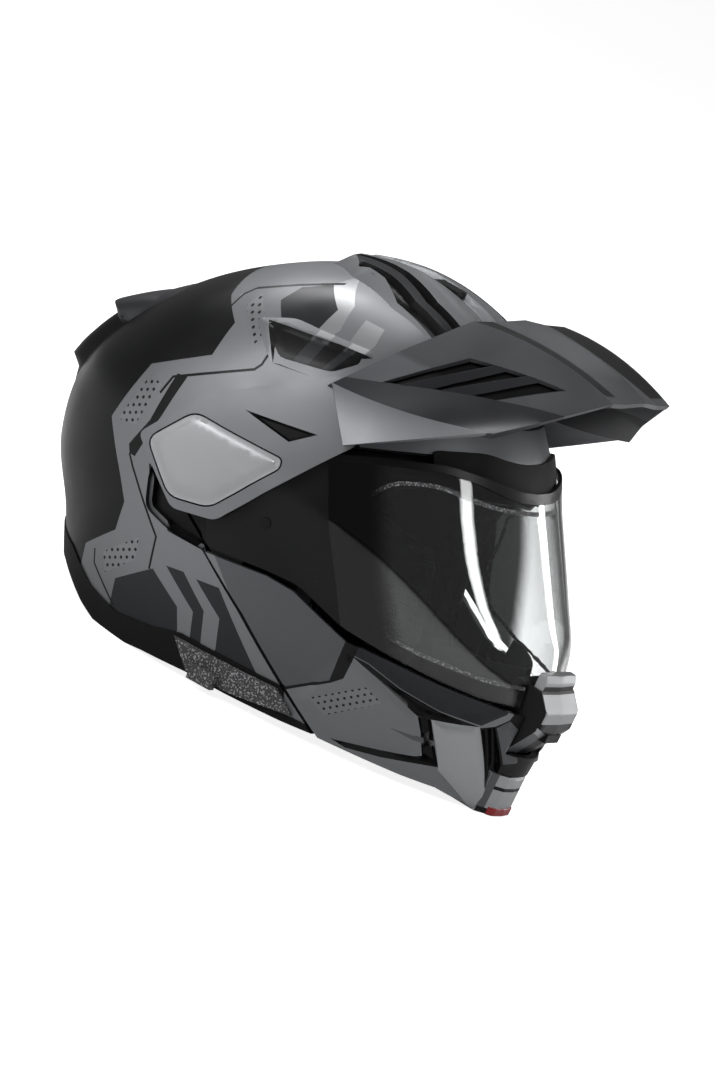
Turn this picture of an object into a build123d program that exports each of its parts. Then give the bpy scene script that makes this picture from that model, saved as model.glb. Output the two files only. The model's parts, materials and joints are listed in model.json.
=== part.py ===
from build123d import *
from math import cos, radians, sin
import os

os.makedirs("parts", exist_ok=True)

# Dual sport helmet standing on its lower edge. Millimetres, X across, -Y to the front, +Z up.
# Everything is drawn about the pivot axis, which runs along X through both temples,
# and is moved to its place above the resting face when it is written.

# Overall sizes
skin_radius = 140.0          # side view size that the outlines' shares multiply
skin_half_width = 127.0      # from the middle to the skin at the pivot
pivot_height = 122.0         # pivot axis above the resting face
pivot_setback = 30.9         # pivot axis behind the middle of the whole length
overrun = 20.0               # how far each cutter reaches past what it cuts
reach = skin_half_width + overrun
far = skin_radius + skin_radius

# Walls, layers and clearances
shell_inset = 2.0            # outer shell inside the chin bar's skin at the pivot
shell_wall = 3.5
recess = 9.0                 # eyeport frame below the outer shell's skin
fit_gap = 0.3                # between pieces that lie on each other
foam_depth = 36.0            # inner face of the impact foam below the skin
crown_foam_half_width = 45.0  # of the foam's middle block
pad_thickness = 8.0
chin_wall = 4.0
chin_foam_depth = 26.0
shield_depth = 0.4
shield_wall = 2.2

# Pivot stack, measured from the middle to each layer
pod_floor = 115.0
pod_radius = 47.0
temple_radius = 62.0
base_wall = 2.6
base_radius = 26.0
chin_arm_inner = 117.9
chin_arm_wall = 3.5
shield_ear_inner = 122.3
shield_ear_radius = 20.0
peak_plate_inner = 125.2
peak_plate_wall = 2.6
peak_plate_radius = 44.0
lid_inner = 128.1
lid_wall = 3.1
lid_crown = 4.6              # how far the lid's crown stands proud of the skin
pin_radius = 5.0
pin_clearance = 0.06
pin_head_radius = 8.0
pin_head_wall = 1.6

# Rim trim, pads and seals
trim_proud = 0.8
trim_depth = 7.0
gasket_width = 8.0
gasket_wall = 3.4
pad_gap = 0.4
cheek_pad_thickness = 26.0
neck_roll_thickness = 16.0

# Chin bar fittings
nose_half_width = 23.0
nose_wall = 3.0
block_half_width = 22.0
block_wall = 3.0
button_half_width = 15.0
button_height = 5.0
button_depth = 11.0
button_travel = 3.0
grille_depth = 2.2
grille_wall = 2.0
grille_bar = 2.4
grille_pitch = 6.0
vent_insert_depth = 2.0
vent_insert_wall = 2.0
vent_inner = 40.0            # from the middle to the side vents
grille_border = 2.5
slider_half_width = 9.0
slider_height = 5.0
slider_top = 62.0            # top of the slider's pocket below the pivot axis
slider_wall = 3.0
slider_travel = 4.0
deflector_wall = 2.5
curtain_wall = 1.8
latch_wall = 2.4
latch_gap = 0.4
latch_sink = 1.8             # the hooks below the chin bar's inner face, room for their swing
striker_radius = 2.2
latch_hinge_radius = 1.5

# Face shield fittings
tab_width = 15.0
tab_height = 7.0
tab_depth = 4.5
pinlock_depth = 0.8          # how far the inner lens sits inside the shield
pinlock_wall = 1.2
pinlock_pin_radius = 3.0

# Sun visor
sun_radius = 113.0
sun_half_width = 104.0
sun_wall = 2.0
sun_ear_radius = 16.0
sun_low = 20.0               # degrees, the lens' edges when it is stowed
sun_high = 62.0
sun_travel = 34.0
sun_margin = 3.0
sun_slot = 2.0               # free space on both sides of the lens
sun_pin_radius = 3.0
sun_pin_length = 12.0
lever_length = 15.0
lever_height = 9.0
lever_wall = 5.0
track_wall = 2.2
lever_gap = 0.8

# Vents, spoiler and scoops
crown_vent_half_width = 50.0
crown_vent_rise = 7.5
crown_channel_width = 9.0
crown_channel_place = 26.0
crown_channel_depth = 3.0
knob_length = 16.0
knob_width = 14.0
knob_height = 4.0
knob_travel = 8.0
knob_share = -0.2
scoop_rise = 1.6
spoiler_half_width = 58.0
spoiler_rise = 16.0
spoiler_wall = 3.0
brow_rise = 2.0
brow_half_width = 42.0

# Peak
peak_wall = 2.8
peak_arm_inner = 3.7         # how far the arm's inner face stands off the skin
peak_arm_wall = 2.5
louvre_wall = 2.4
louvre_pitch = 11.0
louvre_slant = 40.0
louvre_count = 19

# Strap and buckle
strap_width = 22.0
strap_wall = 1.8
rivet_radius = 5.0
buckle_length = 44.0
buckle_width = 26.0
buckle_height = 8.0
buckle_lever_wall = 2.4
buckle_lever_length = 34.0
buckle_lever_width = 17.0
buckle_place = 31.0          # from the middle to the buckle
buckle_floor = 1.2
strap_setback = 14.0         # strap ahead of the pivot axis
ladder_gap = 0.5
barrel_radius = 2.6
hinge_pin_radius = 1.4

# The skin in the side view: angle from the front upwards, radius as a share of skin_radius,
# and fullness, the power of the cross-section's curve. The shell's own table differs
# from the moving pieces' table only above the eyes, where they have to sweep past the vent.
lower_skin_shares = [(-59.7, 1.586, 2.2), (-42.7, 1.657, 1.9), (-32.7, 1.643, 1.75), (-22.7, 1.55, 1.7),
                     (-12.7, 1.443, 1.8), (-2.7, 1.229, 2.1), (12.3, 1.057, 2.2)]
shell_brow_shares = [(27.3, 0.95, 2.3), (42.3, 0.914, 2.3), (57.3, 0.911, 2.3), (72.3, 0.875, 2.3),
                     (87.3, 0.839, 2.3)]
face_brow_shares = [(27.3, 0.998, 2.3), (42.3, 0.975, 2.3), (57.3, 0.96, 2.3), (72.3, 0.93, 2.3),
                    (87.3, 0.90, 2.3)]
rear_skin_shares = [(105.3, 0.793, 2.3), (122.3, 0.771, 2.3), (142.3, 0.793, 2.3), (162.3, 0.857, 2.3),
                    (182.3, 0.957, 2.3), (202.3, 0.989, 2.3), (222.3, 0.979, 2.4), (237.3, 1.071, 2.5),
                    (257.3, 1.214, 2.6), (277.3, 1.357, 2.6)]
shell_shares = lower_skin_shares + shell_brow_shares + rear_skin_shares
face_shares = lower_skin_shares + face_brow_shares + rear_skin_shares
section_shares = (-0.99, -0.95, -0.88, -0.77, -0.62, -0.43, -0.22, 0, 0.22, 0.43, 0.62, 0.77, 0.88, 0.95, 0.99)

# Side view outlines as (back, up) shares of skin_radius
seam_shares = [(-0.155, -0.356), (-0.38, -0.502), (-0.64, -0.696), (-0.813, -0.824)]
gasket_end_shares = [(0.3, -0.64), (-1.7, -0.64)]
front_zone_shares = [(0.03, -0.27), (0.03, 0.05), (-0.25, 0.26), (-0.45, 0.275), (-0.545, 0.31), (-0.80, 0.41),
                     (-1.3, 0.45), (-1.7, 0.40), (-1.7, -0.95), (-0.95, -0.95), (-0.80, -0.83), (-0.63, -0.704),
                     (-0.37, -0.511), (-0.145, -0.366)]
face_opening_shares = [(-1.7, 0.30), (-0.80, 0.275), (-0.62, 0.17), (-0.56, 0), (-0.56, -0.25), (-0.62, -0.5),
                       (-0.72, -0.62), (-0.90, -0.78), (-0.95, -1.2), (-1.7, -1.2)]
rim_shares = [(1.3, -0.60), (0.80, -0.62), (0.471, -0.663), (0.292, -0.747), (0.125, -0.777), (-0.053, -0.743),
              (-0.186, -0.702), (-0.415, -0.698), (-0.64, -0.697), (-0.67, -0.80), (-1.7, -0.80)]
trim_shares = [(1.3, -0.70), (0.80, -0.715), (0.515, -0.752), (0.337, -0.84), (0.24, -0.872), (0.05, -0.872),
               (-0.039, -0.858), (-0.259, -0.837), (-0.429, -0.838), (-0.671, -0.832), (-0.80, -0.824)]
chin_shares = [(-0.155, -0.356), (-0.413, -0.324), (-0.529, -0.331), (-0.775, -0.42), (-0.98, -0.425),
               (-1.12, -0.432), (-1.33, -0.435), (-1.7, -0.435), (-1.7, -0.872), (-1.386, -0.872),
               (-1.344, -0.857), (-1.238, -0.828), (-1.124, -0.831), (-0.944, -0.828), (-0.82, -0.827),
               (-0.65, -0.697), (-0.39, -0.503)]
chin_foam_shares = [(-0.97, -0.44), (-1.7, -0.445), (-1.7, -0.855), (-1.344, -0.845), (-1.238, -0.815),
                    (-1.07, -0.815)]
chin_arm_shares = [(0.10, 0.12), (-0.11, 0.13), (-0.15, 0.04), (-0.30, -0.30), (-0.52, -0.34), (-0.46, -0.50),
                   (-0.30, -0.42), (-0.11, -0.32), (0.11, -0.06)]
shield_shares = [(-0.469, 0.242), (-0.545, 0.278), (-0.781, 0.362), (-0.90, 0.36), (-1.0, 0.32), (-1.7, 0.32),
                 (-1.7, -0.42), (-1.315, -0.42), (-1.12, -0.415), (-0.973, -0.404), (-0.745, -0.376),
                 (-0.534, -0.30), (-0.389, -0.306), (-0.148, -0.335), (-0.06, -0.16), (-0.04, 0.13), (-0.2, 0.2)]
peak_arm_shares = [(0.296, -0.07), (0.116, 0.181), (-0.304, 0.49), (-0.491, 0.294), (-0.15, -0.212),
                   (0.035, -0.253)]
lid_shares = [(0.248, -0.069), (0.114, 0.109), (-0.277, 0.12), (-0.285, 0.086), (-0.107, -0.177), (0.064, -0.216)]
lever_plate_shares = [(-0.17, -0.722), (-0.62, -0.712), (-0.71, -0.79), (-0.45, -0.825), (-0.26, -0.825)]
scoop_shares = [(0.18, 0.52), (0.02, 0.60), (-0.33, 0.63), (-0.27, 0.45), (-0.03, 0.40)]
brow_shares = [(-0.70, 0.53), (-0.75, 0.66), (-1.1, 0.80), (-1.1, 0.50)]
spoiler_shares = [(0.72, 0.44), (0.95, 0.236), (1.03, 0.02), (1.03, -0.06), (0.96, -0.16), (0.80, -0.16),
                  (0.60, 0.3)]
crown_vent_shares = [(-0.50, 0.74), (-0.487, 0.825), (-0.47, 0.835), (-0.36, 0.866), (-0.2, 0.868), (0, 0.845),
                     (0.17, 0.79), (0.10, 0.60), (-0.44, 0.60)]
side_vent_shares = [(-1.02, -0.62), (-1.16, -0.60), (-1.24, -0.66), (-1.235, -0.75), (-1.12, -0.70)]
crown_pad_shares = [(-0.55, 0.30), (-0.80, 0.9), (0.5, 0.9), (0.9, 0.35), (0.45, 0.25), (-0.1, 0.35)]
cheek_pad_shares = [(-0.06, -0.16), (-0.50, -0.18), (-0.60, -0.50), (-0.62, -0.69), (-0.05, -0.70), (0.02, -0.4)]
neck_roll_shares = [(0.10, -0.60), (0.10, -0.76), (0.292, -0.735), (0.471, -0.652), (0.80, -0.61), (1.3, -0.59),
                    (1.3, -0.30), (0.70, -0.35), (0.3, -0.52)]

# How far below its ends, as a share of skin_radius, the cutter under a lower edge reaches
drop_share = 2.0

# Seen from the front, (across, up) shares of skin_radius
grille_shares = [(0.19, -0.50), (0.31, -0.56), (0.25, -0.80), (0.185, -0.76)]
nose_profile_shares = [(-1.30, -0.43), (-1.425, -0.43), (-1.45, -0.46), (-1.445, -0.53), (-1.38, -0.60),
                       (-1.30, -0.60)]
block_profile_shares = [(-1.26, -0.69), (-1.402, -0.69), (-1.41, -0.8714), (-1.26, -0.8714)]
latch_hook_shares = [(-0.905, -0.60), (-0.87, -0.60), (-0.835, -0.70), (-0.828, -0.735), (-0.85, -0.745),
                     (-0.875, -0.72), (-0.93, -0.63)]
latch_hinge_share = (-0.90, -0.622)
striker_share = (-0.80, -0.735)
deflector_shares = [(-1.0, -0.30), (-1.7, -0.30), (-1.7, -0.55), (-1.0, -0.55)]
curtain_shares = [(-1.0, -0.66), (-1.7, -0.66), (-1.7, -0.84), (-1.0, -0.82)]
pinlock_shares = [(-0.66, 0.23), (-0.80, 0.29), (-0.95, 0.27), (-1.7, 0.27), (-1.7, -0.36), (-1.0, -0.36),
                  (-0.72, -0.32), (-0.62, -0.2), (-0.60, 0.1)]
pinlock_pin_share = (-0.32, -0.139)
tab_share = (0.18, -0.34)
lever_share = (-0.345, -0.81)
strap_path_shares = [(0.70, -0.757), (0.685, -0.80), (0.56, -0.838), (0.44, -0.852), (-0.40, -0.852)]

# Peak: cross-sections from back to front. Each lies in a plane through two side view points,
# the crown's and the fin's lower edge, and lists (across, share of the way from crown to edge).
peak_row_shares = [((-0.58, 0.915), (-0.30, 0.46), [(0, 0), (0.25, 0.05), (0.45, 0.06), (0.69, 0.52), (0.855, 1)]),
                   ((-0.89, 0.935), (-0.60, 0.49), [(0, 0), (0.18, 0.09), (0.36, 0.06), (0.60, 0.56), (0.76, 1)]),
                   ((-1.196, 0.867), (-0.94, 0.585), [(0, 0), (0.17, 0.06), (0.286, 0.055), (0.50, 0.62), (0.69, 1)])]
fin_start_share = 0.4        # across shares beyond this one lie in the fins
fin_slant_share = 1.2        # sideways wall of a fin as a share of its square wall
peak_vent_shares = [(-0.50, 0.56), (-0.66, 0.745), (-1.0, 0.80), (-0.83, 0.665)]


def side_face(shares):
    points = [(0, back * skin_radius, up * skin_radius) for back, up in shares]
    return make_face(Polyline(*points, close=True))


def side_prism(shares, growth=0):
    """An outline of the side view, grown by a distance and drawn out across the whole width."""
    face = side_face(shares)
    if growth:
        face = offset(face, growth, kind=Kind.INTERSECTION)
    return extrude(face, amount=reach, dir=(1, 0, 0), both=True)


def skin(table, half_width, depth=0):
    """The solid inside a skin: its cross-sections shrink by a superellipse towards the temples."""
    faces = []
    for share in section_shares:
        points = []
        for angle, radius_share, fullness in table:
            across = (1 - abs(share) ** fullness) ** (1 / fullness)
            radius = across * (radius_share * skin_radius - depth)
            points.append(Vector(0, -cos(radians(angle)) * radius, sin(radians(angle)) * radius))
        outline = Edge.make_spline(points, periodic=True)
        faces.append(Pos(share * (half_width - depth), 0, 0) * make_face(outline))
    return loft(faces)


def shell_skin(depth=0):
    """The shell's own skin."""
    return skin(shell_shares, skin_half_width - shell_inset, depth)


def face_skin(depth=0):
    """The skin of the pieces that turn about the pivots."""
    return skin(face_shares, skin_half_width, depth)


def disc(radius, inner, outer, side):
    """A round plate about the pivot axis between two distances from the middle."""
    middle = side * (inner + outer) / 2
    return Pos(middle, 0, 0) * Rotation(0, 90, 0) * Cylinder(radius, outer - inner)


def slab(shares, inner, outer, side):
    """A side view outline between two distances from the middle."""
    face = Pos(side * inner, 0, 0) * side_face(shares)
    return extrude(face, amount=outer - inner, dir=(side, 0, 0))


def outside(distance, side):
    """Everything further out than a distance from the middle, on one side."""
    return Pos(side * (distance + reach), 0, 0) * Box(reach + reach, far + far, far + far)


def half_space(side):
    return Pos(side * far, 0, 0) * Box(far + far, far + far + far, far + far + far)


def floor_cut():
    """Everything below the resting face."""
    return Pos(0, 0, -pivot_height - far) * Box(far + far, far + far + far, far + far)


def largest(shape):
    return max(shape.solids(), key=lambda solid: solid.volume)


def write(name, shape):
    placed = Pos(0, pivot_setback, pivot_height) * shape
    solids = placed.solids()
    body = solids[0] if len(solids) == 1 else Compound(children=list(solids))
    export_step(body, "parts/" + name + ".step")
    print(name, len(solids), "solids", round(sum(solid.volume for solid in solids) / 1000, 2), "cm3")


def write_pair(name, shape):
    """Writes the wearer's left half and right half as two nodes."""
    for side, word in ((1, "left"), (-1, "right")):
        write(name + "_" + word, largest(shape & half_space(side)))


def pods(growth):
    """The recesses in which the arms turn, opened by a wall for the inner face."""
    cut = []
    for side in (-1, 1):
        outer = reach + overrun
        cut.append(disc(pod_radius + growth, pod_floor - growth, outer, side))
        temple = disc(temple_radius + growth, pod_floor - growth, outer, side)
        front = Pos(0, -far, 0) * Box(far + far, far + far, far + far)
        cut.append(temple & (Pos(0, growth, far - pod_radius / 2) * front))
    return cut


def shell_block(depth):
    """The shell filled solid at a depth, with the eyeport frame set back and the pods sunk."""
    zone = side_prism(front_zone_shares, depth)
    block = (shell_skin(depth) - zone) + (shell_skin(depth + recess) & zone)
    return block - pods(depth)


def below(shares):
    """Everything under a lower edge."""
    (back_end, back_up), (front_end, front_up) = shares[0], shares[-1]
    return side_prism(shares + [(front_end, front_up - drop_share), (back_end, back_up - drop_share)])


opening_prism = side_prism(face_opening_shares)
rim_prism = below(rim_shares)


def outer_shell():
    body = shell_block(0) - opening_prism - rim_prism
    body = body - shell_block(shell_wall)
    holes = [disc(pin_radius, pod_floor - overrun, pod_floor + overrun, side) for side in (-1, 1)]
    return largest(body - holes)


def sun_band(first, last, growth):
    """The sun visor's lens between two angles: a spheroid shell about the pivot axis."""
    outer = Ellipse(sun_half_width + growth, sun_radius + growth)
    inner = Ellipse(sun_half_width - sun_wall - growth, sun_radius - sun_wall - growth)
    front = Pos(0, -far) * Rectangle(far + far, far + far)
    return revolve(Rotation(-last, 0, 0) * ((outer - inner) & front), Axis.X, last - first)


def sun_ears(radius, growth):
    """The lens' two flat ears at its pivots."""
    inner = sun_half_width - sun_wall - sun_wall
    return [disc(radius + growth, inner - growth, inner + sun_wall + growth, side) for side in (-1, 1)]


def shell_liner():
    """The impact foam in three blocks: an arch over the crown and a block at each side."""
    foam = shell_block(shell_wall + fit_gap) - opening_prism - rim_prism - shell_skin(foam_depth)
    foam = foam - sun_band(sun_low - sun_travel - sun_margin, sun_high + sun_margin, sun_slot)
    foam = foam - sun_ears(sun_ear_radius, sun_slot)
    pins = sun_half_width - sun_pin_length
    foam = foam - [disc(sun_pin_radius, pins, sun_half_width + sun_pin_radius, side) for side in (-1, 1)]
    write("shell_liner_crown", largest(foam & centre_box(crown_foam_half_width)))
    write_pair("shell_liner", foam - centre_box(crown_foam_half_width + fit_gap))


def layer(outer, inner, prism):
    return (outer & prism) - inner


def pads():
    inside = shell_skin(foam_depth + pad_gap)
    crown = layer(inside, shell_skin(foam_depth + pad_thickness), side_prism(crown_pad_shares))
    write("crown_pad", largest(crown))
    cheeks = layer(inside, shell_skin(foam_depth + cheek_pad_thickness), side_prism(cheek_pad_shares))
    write_pair("cheek_pad", cheeks)
    roll = layer(inside, shell_skin(foam_depth + neck_roll_thickness), side_prism(neck_roll_shares))
    write("neck_roll", largest(roll))


def base_trim():
    prism = rim_prism - below(trim_shares)
    front = side_prism(front_zone_shares)
    return largest(layer(shell_skin(-trim_proud), shell_skin(trim_depth), prism - front) - floor_cut())


def eyeport_gasket():
    edge = side_prism(face_opening_shares, gasket_width + fit_gap) - side_prism(face_opening_shares, fit_gap)
    body = layer(shell_skin(recess - gasket_wall - fit_gap), shell_skin(recess - fit_gap), edge)
    return largest(body - below(gasket_end_shares) - pods(fit_gap))


def front_prism(shares):
    """An outline seen from the front, drawn out forwards over the whole chin, on both sides."""
    half = [(across * skin_radius, -skin_radius / 2, up * skin_radius) for across, up in shares]
    body = extrude(make_face(Polyline(*half, close=True)), amount=far, dir=(0, -1, 0))
    return body + mirror(body, Plane.YZ)


def centre_box(half_width):
    return Box(half_width + half_width, far + far + far, far + far)


def front_hole(shares, half_width):
    """A square hole from the front for a block with this side view profile."""
    backs, ups = zip(*shares)
    low = min(ups) * skin_radius - fit_gap
    high = max(ups) * skin_radius + fit_gap
    return Pos(0, max(backs) * skin_radius - far / 2, (low + high) / 2) * Box(
        half_width + half_width + fit_gap + fit_gap, far, high - low)


def profile_block(shares, half_width, edge):
    """A side view profile drawn out to both sides, with its front edges rounded."""
    body = extrude(side_face(shares), amount=half_width, dir=(1, 0, 0), both=True)
    return fillet(body.edges().filter_by(Axis.X).sort_by(Axis.Y)[:2], edge)


def bar(share, radius, outer, inner):
    """A round bar along X between two skins, on both sides."""
    back, up = share
    body = Pos(0, back * skin_radius, up * skin_radius) * Rotation(0, 90, 0) * Cylinder(radius, reach + reach)
    return (body & outer) - inner


def chin_bar():
    """The chin bar's shell with its foam, grilles, side vents and inner seals."""
    under_shell = face_skin(chin_wall + fit_gap)
    shell = layer(face_skin(), face_skin(chin_wall), side_prism(chin_shares))
    sides = outside(vent_inner, 1) + outside(vent_inner, -1)
    holes = [front_prism(grille_shares), front_hole(nose_profile_shares, nose_half_width),
             front_hole(block_profile_shares, block_half_width), side_prism(side_vent_shares) & sides, floor_cut()]
    write("chin_bar_shell", largest(shell - holes))

    inner_foam = face_skin(chin_foam_depth)
    foam = layer(under_shell, inner_foam, side_prism(chin_foam_shares)) - centre_box(nose_half_width + pad_gap)
    write_pair("chin_bar_foam", foam)

    plate = layer(face_skin(grille_depth), face_skin(grille_depth + grille_wall), front_prism(grille_shares))
    (inner, top), (outer, _), (_, bottom), _ = grille_shares
    window = (outer - inner) * skin_radius / 2
    centre = (inner + outer) / 2 * skin_radius
    level = top * skin_radius - grille_pitch - grille_border
    while level > bottom * skin_radius + grille_pitch:
        for side in (-1, 1):
            gap = Box(window, far, grille_pitch - grille_bar)
            plate = plate - Pos(side * (centre - grille_border), -far, level) * gap
        level -= grille_pitch
    write_pair("chin_grille", plate)

    insert = layer(face_skin(vent_insert_depth), face_skin(vent_insert_depth + vent_insert_wall),
                   side_prism(side_vent_shares, -fit_gap))
    write_pair("chin_side_vent", insert & sides)

    seal = face_skin(chin_foam_depth + fit_gap)
    deflector = layer(seal, face_skin(chin_foam_depth + fit_gap + deflector_wall), side_prism(deflector_shares))
    write("breath_deflector", largest(deflector))
    curtain = layer(seal, face_skin(chin_foam_depth + fit_gap + curtain_wall), side_prism(curtain_shares))
    write("chin_curtain", largest(curtain - floor_cut()))

    for side, word in ((1, "left"), (-1, "right")):
        arm = slab(chin_arm_shares, chin_arm_inner, chin_arm_inner + chin_arm_wall, side) & under_shell
        write("chin_arm_" + word, largest(arm - pin_bore(side)))


def pin_bore(side):
    return disc(pin_radius + pin_clearance, pod_floor - overrun, pod_floor + overrun + overrun, side)


def latches():
    """Hooks inside the chin bar, their hinge pins, and the strikers on the shell's flange."""
    outer = face_skin(chin_wall + latch_sink)
    inner = face_skin(chin_wall + latch_sink + latch_wall)
    bore = bar(latch_hinge_share, latch_hinge_radius + pin_clearance, face_skin(), shell_skin(foam_depth))
    write_pair("latch_hook", layer(outer, inner, side_prism(latch_hook_shares)) - bore)
    pins = bar(latch_hinge_share, latch_hinge_radius, face_skin(chin_wall), inner)
    write("latch_hinge_pins", pins)
    strikers = bar(striker_share, striker_radius, shell_skin(recess - latch_wall - latch_gap), shell_skin(recess))
    write("latch_strikers", strikers)


def nose_and_block():
    """The nose block with its vent slider, and the lower block with the release button."""
    front = min(back for back, up in nose_profile_shares) * skin_radius
    nose = profile_block(nose_profile_shares, nose_half_width, nose_wall)
    pocket_height = slider_height + slider_travel + fit_gap
    pocket = Pos(0, front, -slider_top - pocket_height / 2) * Box(
        slider_half_width + slider_half_width + fit_gap + fit_gap, slider_wall + slider_wall + fit_gap + fit_gap,
        pocket_height)
    write("nose_block", nose - pocket)
    low = -slider_top - pocket_height + fit_gap / 2 + slider_height / 2
    write("nose_vent_slider", Pos(0, front, low) * Box(
        slider_half_width + slider_half_width, slider_wall + slider_wall, slider_height))

    face = min(back for back, up in block_profile_shares) * skin_radius
    block = profile_block(block_profile_shares, block_half_width, block_wall)
    pocket_height = button_height + button_travel + fit_gap + fit_gap
    hole = Pos(0, face, -pivot_height + pocket_height / 2) * Box(
        button_half_width + button_half_width + fit_gap + fit_gap, button_depth + button_depth + fit_gap + fit_gap,
        pocket_height)
    write("latch_block", block - hole)
    button = Pos(0, face, -pivot_height + fit_gap + button_height / 2) * Box(
        button_half_width + button_half_width, button_depth + button_depth, button_height)
    front_half = Pos(0, face - button_depth, -pivot_height) * Box(far, button_depth + button_depth, far)
    write("release_button", largest(button - front_half))


def pivots():
    """The base plates in the shell's recesses and the headed pins that everything swings on."""
    pins = []
    for side, word in ((1, "left"), (-1, "right")):
        base = disc(base_radius, pod_floor, pod_floor + base_wall, side)
        base = base - disc(pin_radius, pod_floor - overrun, pod_floor + overrun, side)
        write("pivot_base_" + word, base)
        head = peak_plate_inner + peak_plate_wall + fit_gap
        shank = disc(pin_radius, pod_floor - shell_wall, head, side)
        pins.append(shank + disc(pin_head_radius, head, head + pin_head_wall, side))
    write("pivot_pins", Compound(children=pins))


def face_shield():
    """The clear shield with its ears on the pivot pins, the inner anti-fog lens, its pins and the tab."""
    outer, inner = face_skin(shield_depth), face_skin(shield_depth + shield_wall)
    outline = side_prism(shield_shares)
    lens = layer(outer, inner, outline) & centre_box(shield_ear_inner + shield_wall)
    for side in (-1, 1):
        ear = slab(shield_shares, shield_ear_inner, shield_ear_inner + shield_wall, side)
        ear = ear & disc(peak_plate_radius, pod_floor, reach, side)
        lens = lens + (ear + disc(shield_ear_radius, shield_ear_inner, shield_ear_inner + shield_wall, side))
    bores = [pin_bore(1), pin_bore(-1)]
    stud = bar(pinlock_pin_share, pinlock_pin_radius, face_skin(-shield_depth), face_skin(shield_depth + shield_wall))
    write("shield_lens", largest(lens - bores - stud))
    write("shield_studs", stud)
    gap = shield_depth + shield_wall + pinlock_depth
    write("antifog_lens", largest(layer(face_skin(gap), face_skin(gap + pinlock_wall), side_prism(pinlock_shares))))
    across, up = tab_share
    spot = Pos(across * skin_radius, -far, up * skin_radius) * Box(tab_width, far, tab_height)
    write("shield_tab", largest(layer(face_skin(shield_depth - tab_depth), outer, spot)))


def sun_visor():
    """The drop-down sun lens, its pivots, and its lever on a track at the wearer's right."""
    inner = sun_half_width - sun_wall - sun_wall
    lens = sun_band(sun_low, sun_high, 0) + sun_ears(sun_ear_radius, 0)
    bore = sun_pin_radius + pin_clearance
    lens = lens - [disc(bore, inner - overrun, sun_half_width + overrun, side) for side in (-1, 1)]
    write("sun_visor_lens", largest(lens))
    write("sun_visor_pins", Compound(children=[
        disc(sun_pin_radius, sun_half_width - sun_pin_length, sun_half_width, side) for side in (-1, 1)]))
    face = trim_proud + track_wall
    track = layer(shell_skin(-face), shell_skin(-trim_proud), side_prism(lever_plate_shares)) - floor_cut()
    write_pair("rim_plate", track)
    back, up = lever_share
    spot = Pos(-reach, back * skin_radius, up * skin_radius) * Box(reach + reach, lever_length, lever_height)
    foot = face + lever_gap
    write("sun_visor_lever", largest(layer(shell_skin(-foot - lever_wall), shell_skin(-foot), spot)))


def top_fittings():
    """Crown vent with its slider, side scoops, rear spoiler and brow cap, all lying on the shell."""
    surface = shell_skin()
    vent = (side_prism(crown_vent_shares) & centre_box(crown_vent_half_width) & shell_skin(-crown_vent_rise)) - surface
    top = max(up for back, up in crown_vent_shares) * skin_radius
    for side in (-1, 1):
        vent = vent - Pos(side * crown_channel_place, 0, top) * Box(
            crown_channel_width, skin_radius, crown_channel_depth + crown_channel_depth)
    back = knob_share * skin_radius
    pocket = Pos(0, back, top) * Box(knob_width + fit_gap + fit_gap, knob_length + knob_travel + fit_gap + fit_gap,
                                     knob_height)
    write("crown_vent", largest(vent - pocket))
    write("crown_vent_slider", Pos(0, back - knob_travel / 2, top + fit_gap) * Box(knob_width, knob_length, knob_height))
    scoop = layer(shell_skin(-scoop_rise), surface, side_prism(scoop_shares))
    write_pair("side_scoop", scoop)
    spoiler = side_prism(spoiler_shares) & centre_box(spoiler_half_width) & shell_skin(-spoiler_rise)
    inside = side_prism(spoiler_shares, -spoiler_wall) & centre_box(spoiler_half_width - spoiler_wall)
    spoiler = spoiler - surface - (inside & shell_skin(spoiler_wall - spoiler_rise))
    write("rear_spoiler", largest(spoiler))
    brow = layer(shell_skin(-brow_rise), surface, side_prism(brow_shares) & centre_box(brow_half_width))
    write("brow_cap", largest(brow))


def peak_section(row, inset):
    """One cross-section of the peak, closed along its open underside, moved inwards by an inset."""
    (back, up), (edge_back, edge_up), points = row
    run = ((edge_back - back) ** 2 + (edge_up - up) ** 2) ** 0.5 * skin_radius
    half = []
    for across, along in points:
        narrow = across * skin_radius - (inset * fin_slant_share if across > fin_start_share else 0)
        depth = min(along + inset / run, 1.0) if along < 1 else 1.0 + inset / run
        half.append((narrow, back * skin_radius + (edge_back - back) * depth * skin_radius,
                     up * skin_radius + (edge_up - up) * depth * skin_radius))
    other = [(-across, y, z) for across, y, z in reversed(half) if across]
    return make_face(Polyline(*(half + other), close=True))


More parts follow.
